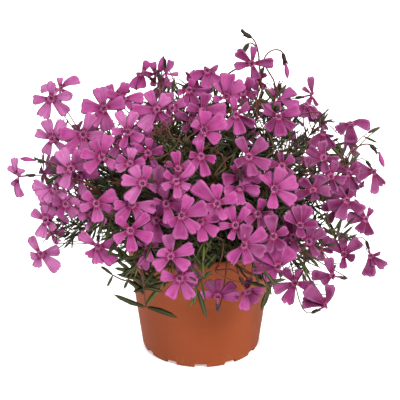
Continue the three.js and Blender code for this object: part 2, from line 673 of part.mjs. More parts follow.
function distinctCorners(manifold) {
  const bare = new THREE.BufferGeometry();
  bare.setAttribute("position", new THREE.Float32BufferAttribute(manifold.getMesh().vertProperties, 3));
  return mergeVertices(bare, 1e-4).getAttribute("position").count;
}

function makePot() {
  const profile = [
    [0, FLOOR.under],
    [POT.footR - 2.1, FLOOR.under],
    [POT.footR - 1.8, 0],
    [POT.footR, 0],
    [POT.baseR, 1.4],
    [POT.neckR, POT.height - 5.4],
    [POT.rimR, POT.height - 4.6],
    [POT.rimR, POT.height - 0.8],
    [POT.rimR - 0.8, POT.height],
    [POT.innerR + 0.6, POT.height],
    [POT.innerR - 0.2, POT.height - 5],
    [POT.baseR - POT.wall, FLOOR.top],
    [0, FLOOR.top],
  ].map(([r, z]) => new THREE.Vector2(r, z));
  let pot = solid(new THREE.LatheGeometry(profile, ROUND).rotateX(Math.PI / 2));
  for (let i = 0; i < NOTCH.count; i++) {
    const notch = new THREE.BoxGeometry(8, NOTCH.width, NOTCH.height * 2);
    notch.translate(POT.footR - 1, 0, -0.001).rotateZ((i / NOTCH.count) * 2 * Math.PI);
    pot = pot.subtract(solid(notch));
  }
  return pot;
}
function makeSoil(sprays) {
  const inner = (z) =>
    POT.baseR - POT.wall + ((POT.innerR - 0.2 - POT.baseR + POT.wall) * (z - FLOOR.top)) / (POT.height - 5 - FLOOR.top);
  const profile = [
    [0, FLOOR.top + SOIL.gap],
    [inner(FLOOR.top) - SOIL.gap, FLOOR.top + SOIL.gap],
    [inner(SOIL.top) - SOIL.gap, SOIL.top],
    [0, SOIL.top + SOIL.crown],
  ].map(([r, z]) => new THREE.Vector2(r, z));
  let soil = solid(new THREE.LatheGeometry(profile, ROUND).rotateX(Math.PI / 2));
  for (const { hole } of sprays) {
    const drill = new THREE.CylinderGeometry(SOIL.holeR, SOIL.holeR, SOIL.holeDepth + 6, 4);
    drill.rotateX(Math.PI / 2).translate(hole[0], hole[1], SOIL.top - SOIL.holeDepth / 2 + 3);
    soil = soil.subtract(solid(drill));
  }
  return soil;
}

// ---------------------------------------------------------------- the part
function plan() {
  const random = seeded(SEED);
  const blooms = placeBlooms(random);
  const sprays = placeSprays(blooms, random);
  routeStalks(sprays, blooms);
  placeTwigs(sprays, blooms);
  placeLeaves(sprays, blooms, random);
  return sprays;
}
const PLASTIC = new THREE.Color(0.392, 0.094, 0.035);
const sprays = plan();
const plant = new THREE.Group();
plant.name = "phlox";

function addNode(name, manifold, color, roughness) {
  const mesh = new THREE.Mesh(toGeometry(manifold), new THREE.MeshStandardMaterial({ color, roughness, metalness: 0 }));
  mesh.name = name;
  plant.add(mesh);
}
addNode("pot", makePot(), PLASTIC, 0.6);
addNode("soil", makeSoil(sprays), new THREE.Color(0.03, 0.02, 0.013), 0.95);
sprays.forEach((spray, i) => {
  const name = `spray_${String(i).padStart(2, "0")}`;
  addNode(name, growSpray(spray), new THREE.Color(0.6, 0.1, 0.38), 0.6);
});

export default plant;
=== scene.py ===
"""Moss phlox in full bloom in a round moulded plant pot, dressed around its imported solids.

Every leafy stem gets fine petals, calyces, buds, stalks and needle leaves, the pot a smooth moulded wall and the
soil its crumbs. The layout follows the same rules as the solids. It is worked out in millimetres, and the meshes
are written in metres, +Z up, with the side that the plant shows best facing -Y.
"""

from __future__ import annotations

import itertools
import logging
import math
from collections.abc import Sequence
from dataclasses import dataclass, field
from enum import Enum

import bmesh
import bpy
import numpy as np
from bmesh.types import BMesh, BMFace, BMVert
from bpy.types import Material, Mesh, Node, NodeSocket, NodeTree, Object
from mathutils import Matrix, Vector

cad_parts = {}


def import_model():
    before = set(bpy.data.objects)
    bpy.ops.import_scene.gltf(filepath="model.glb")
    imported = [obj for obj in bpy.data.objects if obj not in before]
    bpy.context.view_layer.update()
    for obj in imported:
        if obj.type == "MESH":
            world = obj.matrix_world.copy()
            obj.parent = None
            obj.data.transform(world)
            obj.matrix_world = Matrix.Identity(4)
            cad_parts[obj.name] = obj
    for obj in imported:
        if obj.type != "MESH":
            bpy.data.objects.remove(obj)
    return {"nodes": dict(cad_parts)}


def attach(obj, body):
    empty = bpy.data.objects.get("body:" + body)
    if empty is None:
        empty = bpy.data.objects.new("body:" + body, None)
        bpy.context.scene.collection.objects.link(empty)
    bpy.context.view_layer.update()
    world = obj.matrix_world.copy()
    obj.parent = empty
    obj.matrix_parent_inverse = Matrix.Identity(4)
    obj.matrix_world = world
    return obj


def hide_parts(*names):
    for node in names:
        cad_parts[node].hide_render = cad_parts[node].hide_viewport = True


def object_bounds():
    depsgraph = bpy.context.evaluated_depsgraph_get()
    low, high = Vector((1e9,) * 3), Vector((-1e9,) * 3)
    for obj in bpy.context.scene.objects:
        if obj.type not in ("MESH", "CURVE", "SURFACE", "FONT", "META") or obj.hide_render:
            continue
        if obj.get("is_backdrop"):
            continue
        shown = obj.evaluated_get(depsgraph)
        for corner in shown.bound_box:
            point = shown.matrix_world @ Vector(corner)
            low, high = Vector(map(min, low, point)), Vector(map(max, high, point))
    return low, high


LOG = logging.getLogger("phlox")
MM = 0.001
BODY = "root"
GOLDEN = math.radians(137.508)
FULL_TURN = 2 * math.pi
# Parts of a turn, rounded as they are for the solids, because the layout's choices depend on them.
QUARTER_TURN, SIXTH_TURN, EIGHTH_TURN = 1.571, 1.047, 0.7854
UP_Z = np.array([0.0, 0.0, 1.0])

Array = np.ndarray
Point = tuple[float, ...]


# ---- driving dimensions
@dataclass(frozen=True)
class PotSizes:
    """The pot's dimensions, in millimetres."""

    height: float = 92.0
    foot_r: float = 42.7
    base_r: float = 43.9
    rim_r: float = 57.0
    neck_r: float = 55.4
    inner_r: float = 54.0
    wall: float = 1.5
    floor_under: float = 3.2
    floor_top: float = 5.0
    notches: int = 12
    notch_width: float = 9.0
    notch_height: float = 3.2


@dataclass(frozen=True)
class SoilSizes:
    """The soil's dimensions, in millimetres."""

    top: float = 84.0
    crown: float = 1.5
    hole_depth: float = 14.0


@dataclass(frozen=True)
class BloomSizes:
    """A bloom's dimensions and how clear of others it stands, in millimetres."""

    sink: float = 0.3
    clear: float = 1.5
    tube: float = 12.0
    stalk_r: float = 0.42


@dataclass(frozen=True)
class LeafSizes:
    """The needle leaves' dimensions, in millimetres, and their spread from the stem in radians."""

    width: float = 2.1
    length: float = 17.0
    nodes: int = 2
    spread: float = 0.95


@dataclass(frozen=True)
class BudSizes:
    """How long a closed bud and its calyx are, in millimetres."""

    flower: float = 11.0
    calyx: float = 8.5


@dataclass(frozen=True)
class StemRules:
    """How many stems there are, how they fan out of the soil, and at which cosine a stalk's bend is sharp."""

    count: int = 38
    disc_r: float = 43.0
    lowest: float = -0.36
    radius: float = 1.25
    tip_radius: float = 0.8
    steps: int = 4
    twig_stems: int = 5
    sharp: float = 0.15
    sharp_cost: float = 0.4
    core: tuple[float, float, float] = (0.0, 0.0, 98.0)


@dataclass(frozen=True)
class BackRules:
    """The rule that places the blooms round the plant's far side."""

    count: int = 52
    petal: float = 13.6
    inset: float = 1.01
    gap: float = 22.0


POT = PotSizes()
SOIL = SoilSizes()
BLOOM = BloomSizes()
LEAF = LeafSizes()
BUD = BudSizes()
STEMS = StemRules()
BACK = BackRules()
LAYOUT_SEED = 20117
DETAIL_SEED = 4127

# Blooms seen from the front. Each row: x and y of the eye and the petal length in chart units; how far it turns
# right and up from facing the viewer, the first petal's angle, and how far the petals lean forward, in degrees;
# and its depth, 1 on the dome's surface and less inside it. Rows in front come first.
CHART: tuple[Point, ...] = (
    (249, 156.5, 21, -5, 0, 50, 0, 1.03), (274, 189, 22, 15, 0, 30, 5, 1.03), (130.2, 230.6, 19, 0, 0, 61, 0, 1.03),
    (170.5, 256, 20, -3, 0, 22, 0, 1.05), (179.7, 278.4, 20, 0, -10, 18, 0, 1.06),
    (278, 267, 23, -15, 35, 30, 35, 1.04), (244, 245.2, 22, -15, 20, 37, 15, 1.04),
    (235.6, 225.2, 19, 0, 0, 48, 0, 1.02), (295, 282.7, 20, -5, -5, 46, 0, 1.02), (102, 157, 21, 0, 0, 25, 0, 1.02),
    (104, 108.6, 20, 0, 0, 30, 0, 1.02), (83, 134.5, 21, 0, 0, 62, 0, 1.02), (52, 139, 18, -20, 0, 20, 0, 1),
    (51, 98.5, 20, -10, -12, 32, 0, 1), (60, 89, 20, 5, 62, 18, 20, 0.96), (123, 98.5, 18, 0, 25, 5, 0, 1),
    (157, 109.5, 22, -20, 10, 38, 0, 1), (128, 132.4, 21, 0, 30, 30, 20, 1), (71, 168.8, 17, -10, 0, 35, 0, 1.02),
    (79, 177.5, 19, 0, -10, 70, 0, 0.99), (142.8, 183.5, 20, 0, 10, 22, 10, 1.01), (153, 186.7, 20, 0, 40, 3, 28, 1),
    (96, 203.5, 21, 15, 5, 28, 0, 1.01), (92, 215, 16, 25, -5, 42, 0, 0.97), (132, 204.5, 20, 0, 10, 66, 0, 1),
    (166, 203.5, 21, 20, 0, 60, 0, 1), (181.5, 215.5, 19, 0, 0, 30, 0, 1.01), (217, 204, 19, 0, 5, 18, 0, 1.01),
    (200, 222, 18, 10, -5, 30, 0, 0.99), (156, 220.3, 18, 0, -5, 67, 0, 0.99),
    (203.5, 130.4, 19, 25, 10, 60, 0, 1.02), (202, 111, 20, 20, 0, 5, 0, 1), (236, 114.5, 20, 0, -30, 14, -10, 1.01),
    (278.4, 116.4, 18, 0, -42, 54, 0, 1.01), (323.7, 157.5, 19, -30, 0, 40, 0, 1.01),
    (331, 176.5, 19, -25, 10, 30, 10, 0.98), (300, 225.8, 20, 0, 40, 10, 32, 1.02),
    (273.5, 236.5, 18, 0, 10, 23, 0, 0.99), (293, 237, 17, -20, 0, 40, 0, 0.97), (309, 242, 19, 0, 15, 7, 20, 1),
    (343.7, 254.5, 19, 0, 30, 35, 20, 1), (333, 276, 21, -55, 10, 20, 28, 1), (326, 306, 24, -50, 25, 20, 30, 1),
    (370.5, 255.2, 19, 20, -55, 48, 0, 1), (374, 171.5, 21, 30, -40, 60, 0, 1), (349, 173, 19, 10, -60, 50, 0, 1),
    (347, 200, 20, -10, -40, 20, -10, 1), (366, 219, 18, 60, -20, 20, 0, 0.97), (350.3, 122.5, 20, 0, 55, 50, -45, 1),
    (323.3, 132.3, 17, 0, -66, 20, 38, 1), (306, 104, 18, 10, 50, 18, -42, 1), (311.5, 95, 18, 76, 10, 20, 0, 1),
    (279.7, 100.3, 19, 0, -110, 36, 0, 1), (252, 63.5, 20, 0, 5, 5, 0, 1), (258, 80, 16, -30, -50, 20, 0, 0.96),
    (226, 97, 21, -10, 35, 13, 22, 1), (243, 92, 16, 20, -20, 60, 0, 0.93), (207.2, 70.5, 20, 0, -38, 54, -15, 1),
    (189, 90, 18, -10, -20, 35, 0, 1), (196, 78, 16, -20, -30, 20, 0, 0.96), (166, 74, 17, -10, -120, 30, 0, 1),
    (156, 74, 15, -30, -30, 20, 0, 0.97), (142, 73, 16, -68, 30, 10, 0, 1), (18.5, 176.5, 20, -78, -5, 20, 8, 1),
    (55, 189, 19, -55, -30, 20, 8, 1), (45.5, 219.8, 15, -15, 5, 15, 0, 1), (40.5, 254, 20, -25, 0, 30, 0, 1),
    (65.5, 204, 17, -20, -20, 20, 0, 0.98), (56, 208, 19, -20, -15, 12, 0, 0.95),
    (51, 233, 15, -20, -30, 0, -10, 0.93), (97.6, 245.8, 20, 0, -35, 5, -10, 1),
    (148, 246, 19, -10, -42, 56, -10, 0.99), (217.6, 297, 18, 0, 55, 18, 28, 1.03),
    (247.4, 291, 17, 40, -50, 5, 0, 1.04), (240, 187, 19, 0, -55, 60, 0, 1), (240, 177, 19, 20, 20, 0, 10, 0.98),
    (201, 156, 18, 10, -20, 12, 0, 0.97), (178, 169, 17, 0, 35, 18, 20, 0.98), (176, 181, 19, 30, -50, 30, 0, 0.97),
    (145, 140, 19, -30, 0, 40, 5, 0.97), (150, 125, 16, -10, 20, 50, 0, 0.9), (148, 153, 16, 0, -20, 10, 0, 0.9),
    (130, 164, 16, -20, 30, 10, 10, 0.93), (120, 143, 16, 0, 10, 20, 0, 0.86), (172, 108, 16, 10, 0, 30, 0, 0.88),
    (192, 121, 14, -20, 0, 10, 0, 0.9), (114, 95, 14, 0, 20, 40, 0, 0.93), (80, 204, 16, 0, 0, 10, 0, 0.88),
    (313, 190, 20, 0, -45, 60, -10, 0.95), (336, 209, 16, 0, -20, 20, 0, 0.92), (320, 249, 16, 20, -30, 0, 0, 0.95),
    (258, 214, 16, 0, 0, 0, 0, 0.88), (282, 166, 15, 0, 10, 30, 0, 0.9), (189, 275, 14, 10, -10, 0, 0, 0.98),
)  # fmt: skip


# The tips of the petals of charted blooms: x and y in chart units, and how far each petal bends towards the viewer,
# from 1 to -1 for away, as a share of the length that the chart doesn't show. The keys number the rows above.
PETALS: dict[int, tuple[Point, ...]] = {
    0: ((238, 137), (266, 140), (270, 167), (253, 177), (235, 165)),
    1: ((265, 172, -0.6), (281, 167), (298, 181), (295, 203), (272, 209)),
    2: ((114, 241), (132, 252), (153, 239), (149, 214), (117, 217)),
    3: ((168, 234), (194, 247), (189, 268), (154, 268), (158, 250, 0.8)),
    4: ((160, 275), (169, 298), (192, 299), (198, 277, -0.5), (181, 261, -0.5)),
    5: ((251, 264), (261, 246, 0.3), (277, 240, 0.3), (290, 247, 0.5), (267, 282, 0.7)),
    6: ((249, 224), (267, 233), (266, 252, 0.5), (229, 262), (249, 264, 0.4)),
    7: ((228, 206), (248, 208), (218, 226), (230, 240), (243, 239, 0.3)),
    8: ((283, 268), (300, 268, 0.5), (273, 290), (286, 304), (314, 287)),
    9: ((109, 134), (80, 153), (85, 171), (117, 168), (92, 139, -0.5)),
    10: ((99.5, 87), (81, 106), (125, 102), (92, 126, -0.5), (107, 131)),
    11: ((93, 113), (58, 134), (67, 153), (84, 158), (104, 138)),
    12: ((48, 119), (63, 120), (36, 131), (46, 155), (67, 151)),
    13: ((32, 100), (42, 118), (69, 113), (71, 95), (53, 82, 0.8)),
    14: ((59, 76, -0.6), (79, 78), (40, 90), (72, 99, 0.7), (50, 98, 0.8)),
    15: ((126, 82), (144, 98), (107, 93), (114, 108, 0.5), (134, 108, 0.5)),
    16: ((151, 89), (131, 111), (142, 131), (165, 94, -1), (168, 120, -1)),
    17: ((117, 111), (135, 111), (111, 132), (122, 148, 0.5), (143, 141, 0.5)),
    18: ((59, 149), (81, 150), (56, 170), (62, 188), (86, 165, 0.3)),
    19: ((98, 169), (84, 195), (66, 188), (68, 171, 0.8), (88, 162, -0.6)),
    20: ((121, 179), (131, 167), (149, 166), (127, 202), (158, 190, -0.8)),
    21: ((150, 165), (162, 166), (173, 175), (141, 172, -0.5), (166, 192, 0.8)),
    22: ((117, 194), (83, 193), (79, 209), (98, 222, 0.5), (114, 211, 0.2)),
    23: ((106, 224), (88, 231), (78, 217), (86, 203, -0.6), (100, 205, -0.6)),
    24: ((113, 206), (118, 221), (157, 209), (143, 220, 0.4), (137, 187, -0.4)),
    25: ((187, 193), (184, 208, 0.3), (169, 224, 0.5), (152, 201, -0.4), (163, 188, -0.7)),
    26: ((191, 196), (207, 205), (195, 234), (180, 240), (170, 227)),
    27: ((197, 180, 0.2), (213, 184), (200, 211, 0.3), (238, 196), (225, 220, 0.5)),
    28: ((220, 213), (218, 234), (203, 242), (187, 229, 0.3), (192, 208, -0.5)),
    29: ((138, 212), (163, 205, -0.3), (172, 224), (156, 243), (146, 232, 0.6)),
    30: ((206, 110), (226, 119), (219, 142), (196, 146, 0.6), (192, 122)),
    31: ((227, 110), (213, 128, 0.6), (194, 126, 0.2), (186, 106, -0.3), (206, 93, -0.5)),
    32: ((223, 129, 0.2), (241, 135), (255, 125), (250, 104, -0.6), (233, 97, -0.3)),
    33: ((265, 129, 0.2), (281, 137), (295, 128), (300, 109), (264, 110, -0.4)),
    34: ((303, 161), (307, 148), (320, 141, -0.5), (337, 160, -0.8), (325, 172, 0.6)),
    35: ((310, 181), (321, 163), (337, 161, -0.3), (346, 181, -0.6), (334, 193, 0.5)),
    36: ((295, 205), (310, 206), (285, 213), (318, 221, -0.5), (300, 238, 0.8)),
    37: ((270, 214), (288, 229), (258, 240, -0.4), (267, 252, 0.7), (283, 249, 0.7)),
    38: ((286, 215), (278, 228), (302, 222, -0.3), (296, 253, 0.2), (281, 245, 0.5)),
    39: ((312, 219), (323, 228), (300, 228, -0.4), (298, 250, 0.5), (317, 257, 0.3)),
    40: ((341, 233), (361, 241), (330, 240), (343, 269, 0.4), (354, 261, 0.7)),
    41: ((327, 257), (311, 277), (322, 284, 0.4), (335, 264, -0.3), (333, 280, -0.3)),
    42: ((303, 298), (308, 284), (325, 283), (318, 297, -0.2), (322, 298, 0.1)),
    43: ((387, 266), (368, 277), (381, 254, -0.2), (374, 263, -0.2), (374, 266, 0.2)),
    44: ((356, 178), (378, 194), (353, 164), (374, 180, -0.2), (383, 186, -0.3)),
    45: ((330, 163), (340, 194), (359, 190), (352, 158, -0.9), (362, 170, -0.8)),
    46: ((326, 204), (364, 212), (338, 219, 0.3), (353, 190, -0.5), (334, 190, -0.5)),
    47: ((350, 203), (368, 236), (347, 216, 0.2), (357, 232, 0.4), (371, 208, -0.3)),
    48: ((371, 125), (337, 132), (351, 143), (355, 128, -1), (346, 127, -1)),
    49: ((309, 146), (325, 148), (334, 148), (316, 140, -1), (330, 139, -1)),
    50: ((297, 116), (308, 118), (317, 117), (300, 104, -1), (312, 104, -1)),
    51: ((309, 76), (303, 87), (316, 107), (308, 104, 0.7), (316, 88, -0.9)),
    52: ((270, 88, -0.2), (294, 88), (300, 104), (277, 112, 0.4), (261, 107)),
    53: ((236, 51), (254, 46), (274, 63), (234, 67), (257, 80)),
    54: ((246, 82), (267, 74), (254, 90, 0.3), (266, 88, 0.3), (256, 72, -0.9)),
    55: ((231, 73), (242, 81), (216, 82, -0.3), (213, 100), (236, 106, 0.5)),
    57: ((190, 78), (206, 89, 0.2), (225, 85), (216, 72, -1), (200, 71, -1)),
    58: ((184, 105), (197, 106), (211, 94), (193, 79, -0.3), (177, 92, -0.2)),
    59: ((180, 87), (191, 72, -0.3), (200, 92, 0.5), (205, 76, -0.8), (186, 78, -0.8)),
    60: ((172, 60), (179, 74), (162, 60, -0.3), (158, 78), (168, 88, 0.5)),
    61: ((152, 62), (146, 74), (155, 87), (163, 66, -0.6), (164, 82, -0.6)),
    62: ((149, 61), (134, 90), (143, 89, 0.2), (137, 77, -0.8), (146, 74, -0.9)),
    63: ((15, 157), (9, 165), (20, 198), (13, 187), (19, 168, -0.9)),
    64: ((32, 184), (35, 194), (48, 204), (60, 174, -0.6), (64, 197, -0.6)),
    65: ((32, 211), (41, 238), (55, 230), (56, 209), (44, 205, -0.8)),
    66: ((31, 236), (60, 250), (57, 272), (38, 267, 0.5), (31, 258, 0.7)),
    70: ((79, 233), (87, 257), (101, 264), (114, 264), (115, 245, 0.3)),
    71: ((142, 270), (151, 262, 0.3), (136, 243, -0.3), (158, 243, -0.5), (147, 232, -0.9)),
    72: ((219, 279), (206, 281), (199, 294), (237, 286), (240, 295, 0.2)),
    73: ((263, 289), (258, 302), (242, 310), (237, 294), (247, 280, -0.9)),
    74: ((228, 203, 0.2), (245, 205, 0.2), (260, 193), (223, 192), (242, 174, -0.9)),
    75: ((262, 178), (232, 165, -0.2), (222, 181), (250, 190, 0.5), (252, 163, -0.6)),
    76: ((189, 154), (206, 177), (216, 160), (199, 140), (190, 168, 0.3)),
    77: ((175, 151), (192, 164, -0.5), (165, 163, -0.5), (172, 182, 0.6), (186, 181, 0.6)),
    78: ((197, 168), (161, 187), (191, 187), (163, 174, -0.3), (177, 199, 0.2)),
    79: ((126, 143), (131, 131), (131, 151), (157, 147), (150, 125, -0.4)),
}


# Blooms whose turn and lift differ from their row's once they stand, those whose petals lie on one another, how
# wide some petals are against the usual, and how much deeper or paler some are; the deeper values on the blooms
# of the right-hand side are partly painted shade, the rest their own colour.
FACINGS = {42: (60.0, 25.0), 47: (25.0, -20.0), 57: (8.0, -15.0)}
FOLDED = (41, 42, 43, 44, 45, 48, 49, 50, 51, 57, 60, 62, 63, 71, 73)
NARROW = {14: 0.7, 53: 0.72, 51: 0.8, 44: 0.85, 43: 0.85, 63: 0.85, 60: 0.85, 71: 0.85}
TINTS_AND_PAINTED_SHADE = {
    41: 0.9, 42: 0.9, 38: 0.6, 39: 0.6, 88: 0.6, 90: 0.6, 44: 0.35, 45: 0.35, 46: 0.35, 47: 0.35, 49: 0.35, 48: 0.3,
    34: 0.2, 35: 0.2, 50: 0.2, 71: -0.3, 63: -0.4, 4: -0.35, 58: -0.3, 73: -0.1, 78: -0.2, 40: 0.3, 37: 0.2, 43: 0.3,
}  # fmt: skip

# Single leaves seen from the front: x and y of the foot and of the tip in chart units, the width in millimetres, how
# bright the green is, and how far the leaf bows upwards as a share of its length.
LEAVES = (
    (114, 275, 101, 266, 2.3, -0.1, 0.05), (112, 276, 107, 287, 2.1, -0.3, -0.1), (124, 273, 119, 283, 2.1, -0.4, 0),
    (128, 279, 124, 289, 2.2, -0.4, 0), (135, 270, 119, 248, 4.2, 0.3, -0.1), (136, 270, 136, 251, 4, 1, 0),
    (138, 266, 143, 250, 3.4, 0.5, 0), (134, 276, 114, 268, 3, 0, 0.1), (132, 272, 116, 260, 3.2, 0.2, 0.1),
    (136, 282, 116, 274, 3.2, 0.1, 0.1), (142, 285, 124, 270, 3.8, 0.2, 0.1), (144, 290, 126, 279, 3.8, -0.1, -0.1),
    (144, 290, 131, 262, 3.8, 0.4, 0.1), (144, 290, 170, 282, 3.4, -0.4, 0.15), (144, 289, 161, 273, 3.4, 0.3, -0.1),
    (145, 285, 158, 266, 3.2, 0.2, 0), (146, 307, 113, 294, 3.6, -0.3, -0.14), (146, 307, 178, 318, 3.8, -0.4, 0.16),
    (146, 305, 160, 287, 3.8, 0.9, 0.05), (141, 276, 154, 262, 3, 0.2, 0.05), (130, 266, 120, 276, 3, -0.5, 0),
    (131, 262, 110, 254, 2.8, -0.3, 0.1), (138, 262, 148, 256, 3, -0.3, 0), (128, 258, 110, 246, 2.8, -0.4, 0.05),
    (122, 262, 108, 264, 2.6, -0.6, 0), (140, 294, 133, 280, 3.2, -0.5, 0), (150, 286, 164, 292, 2.8, -0.5, 0.1),
    (195, 288, 207, 319, 3.4, -0.2, 0.12), (203, 256, 192, 234, 2.2, 0, 0.1), (204, 257, 201, 233, 2.2, 0.2, 0.05),
    (206, 258, 213, 236, 2.2, -0.2, 0.1), (203, 266, 190, 250, 2.4, 0, 0.12), (205, 270, 217, 254, 2.4, 0, 0.12),
    (200, 276, 186, 263, 2.4, -0.1, 0.15), (200, 282, 213, 270, 2.3, -0.3, 0.15),
    (202, 262, 208, 244, 2.2, -0.4, -0.1), (199, 272, 197, 252, 2.2, -0.3, -0.08),
    (198, 284, 188, 276, 2.3, -0.4, 0.15), (253, 262, 259, 284, 3, -0.6, 0.1), (248, 286, 267, 287, 2.8, -0.7, 0.05),
    (272, 280, 264, 307, 3.2, -0.2, -0.05), (266, 288, 261, 311, 3, -0.3, 0), (266, 281, 287, 279, 2.8, -0.2, 0.1),
    (264, 272, 276, 286, 3, 0.2, 0), (262, 268, 272, 296, 3, -0.1, 0), (290, 254, 299, 269, 2.6, -0.7, 0),
    (298, 256, 311, 276, 2.6, -0.7, 0), (308, 257, 320, 268, 2.4, -0.7, 0), (366, 133, 381, 127, 2.8, -0.6, 0),
    (362, 136, 378, 143, 1.9, -0.6, 0), (344, 158, 329, 154, 3, -0.5, 0.1), (341, 158, 328, 143, 3.2, 0.3, 0.05),
    (349, 165, 360, 153, 2.8, -0.3, 0), (344, 162, 334, 164, 2.6, 0, 0), (342, 156, 338, 144, 2.8, 0, 0),
    (57, 177, 45, 184, 3, -0.5, 0), (58, 177, 51, 165, 3.4, 0.3, 0), (276, 102, 264, 88, 3, 0.2, 0.1),
    (277, 98, 287, 84, 2.6, -0.4, 0), (272, 106, 259, 98, 3.2, 0.5, 0), (278, 106, 291, 98, 2.8, 0, 0),
    (338, 243, 330, 222, 2.3, -0.7, 0), (338, 240, 342, 218, 2.3, -0.5, 0), (340, 241, 354, 225, 2.3, -0.8, 0),
    (334, 238, 322, 226, 2.3, -0.6, 0), (345, 240, 358, 234, 2.1, -0.8, 0), (330, 242, 316, 236, 2.3, -0.7, 0),
    (336, 230, 346, 213, 2.3, -0.3, 0), (333, 228, 325, 212, 2.3, -0.5, 0), (340, 234, 352, 240, 2.1, -0.8, 0),
    (344, 228, 355, 217, 2.1, -0.8, 0), (328, 232, 318, 222, 2.1, -0.7, 0), (102, 214, 90, 226, 2.8, -0.2, 0),
    (104, 218, 98, 236, 2.8, 0.1, 0), (110, 224, 106, 240, 2.8, -0.4, 0), (96, 226, 84, 234, 2.6, -0.3, 0),
    (116, 240, 108, 256, 2.8, -0.2, 0), (118, 246, 122, 262, 3, 0, 0), (139, 262, 152, 277, 3, -0.5, 0.1),
    (140, 267, 157, 271, 2.8, -0.6, 0.1), (142, 276, 159, 281, 3, -0.5, 0.1), (143, 282, 133, 268, 3, -0.4, 0),
    (141, 270, 151, 286, 3, -0.6, 0), (138, 259, 151, 263, 2.8, -0.5, 0), (140, 268, 126, 271, 3, -0.3, 0.1),
    (143, 284, 155, 275, 3, -0.2, 0), (144, 288, 133, 292, 2.8, -0.5, 0), (143, 280, 153, 291, 2.8, -0.7, 0),
    (139, 263, 128, 256, 2.8, -0.6, 0), (142, 274, 149, 262, 2.8, -0.6, 0),
)  # fmt: skip
# Bare stalks seen from the front: the radius in millimetres, how red they are, how deep in the plant they lie, and
# their points in chart units.
STALKS = (
    (0.8, 0.8, 1.03, ((138, 258), (141, 272), (144, 290), (146, 307))),
    (0.5, 0.9, 0.95, ((56, 236), (62, 236), (69, 241), (86, 240))),
    (0.5, 0.9, 0.95, ((56, 244), (62, 243), (74, 244), (96, 243))),
    (0.95, 0.9, 1, ((216, 270), (230, 269), (238, 274), (246, 290))),
    (0.75, 0.8, 1, ((216, 272), (228, 279), (240, 282), (258, 282))),
    (0.55, 0.9, 0.95, ((344, 162), (342, 150), (337, 141), (331, 145))),
    (0.6, 0.7, 0.95, ((343, 165), (351, 150), (360, 139), (370, 131))),
    (0.5, 0.7, 0.95, ((346, 234), (356, 238), (364, 246), (370, 255))),
    (0.5, 0.8, 0.95, ((290, 258), (300, 255), (310, 254), (322, 257))),
    (0.65, 0.7, 0.95, ((257, 128), (256, 112), (257, 98), (259, 84))),
    (0.55, 0.9, 0.95, ((257, 116), (255, 98), (249, 88), (242, 86))),
    (0.55, 0.9, 0.95, ((257, 120), (259, 98), (267, 83), (274, 90))),
    (0.5, 0.8, 0.95, ((152, 138), (158, 126), (168, 118), (178, 116))),
    (0.55, 0.6, 0.95, ((196, 160), (188, 146), (186, 130), (194, 116))),
    (0.5, 0.8, 0.95, ((226, 168), (222, 156), (212, 148), (202, 150))),
    (0.5, 0.8, 0.95, ((318, 132), (320, 120), (316, 108), (308, 104))),
    (0.5, 0.7, 0.95, ((300, 166), (304, 152), (312, 138), (318, 128))),
    (0.5, 0.8, 0.95, ((160, 98), (164, 84), (176, 78), (186, 84))),
    (0.55, 0.6, 0.95, ((330, 178), (322, 164), (320, 148), (322, 136))),
    (0.6, 0.3, 0.95, ((190, 176), (194, 160), (204, 148), (220, 140))),
    (0.6, 0.4, 0.95, ((168, 160), (180, 150), (190, 136), (204, 128))),
    (0.6, 0.3, 0.95, ((274, 150), (270, 136), (262, 126), (256, 112))),
    (0.6, 0.4, 0.95, ((150, 160), (164, 156), (176, 146), (182, 132))),
    (0.55, 0.5, 0.95, ((288, 150), (290, 136), (286, 124), (280, 118))),
    (0.55, 0.4, 0.95, ((214, 176), (226, 160), (236, 152), (240, 138))),
    (0.6, 0.3, 0.95, ((300, 190), (306, 176), (312, 160), (330, 148))),
    (0.6, 0.4, 0.95, ((322, 200), (326, 186), (336, 176), (346, 164))),
    (0.6, 0.2, 0.97, ((322, 216), (331, 230), (338, 241), (346, 240))),
    (0.5, 0.2, 0.97, ((331, 230), (336, 231), (340, 234), (344, 228))),
    (0.6, 0.2, 0.97, ((114, 212), (108, 215), (102, 217), (96, 226))),
    (0.55, 0.2, 0.97, ((114, 212), (110, 222), (115, 238), (118, 246))),
    (0.5, 0.4, 1, ((266, 270), (270, 274), (272, 280), (272, 284))),
)  # fmt: skip
# Where bare stalks tangle in the gaps between blooms: the middle, the spread and how many.
TANGLES = (
    (164, 124, 9, 10), (170, 150, 10, 10), (186, 142, 8, 6), (254, 134, 10, 12), (246, 160, 9, 8), (286, 142, 10, 10),
    (302, 158, 12, 12), (320, 172, 10, 8), (112, 170, 8, 8), (216, 160, 9, 8), (330, 196, 10, 7), (262, 100, 6, 6),
)  # fmt: skip
# The gap through which the pot's wall shows: left, top, right and bottom in chart units.
GAP = (217, 263, 252, 285)
# Twigs, by their number below, whose leaves are charted one by one instead.
PLAIN_TWIGS = (6, 7, 8, 9, 10, 13, 17)


class TwigEnd(Enum):
    """What a twig ends in."""

    BUD = "bud"
    CALYX = "calyx"
    SHOOT = "shoot"


@dataclass(frozen=True)
class TwigRow:
    """A twig seen from the front, in chart units with the tip last.

    Attributes:
        end: what the twig ends in.
        behind: how far it stands behind the outline, in millimetres.
        leaf: the size of its leaves against the usual one, or 0 for none.
        way: its points in chart units.
    """

    end: TwigEnd
    behind: float
    leaf: float
    way: tuple[tuple[float, float], ...]


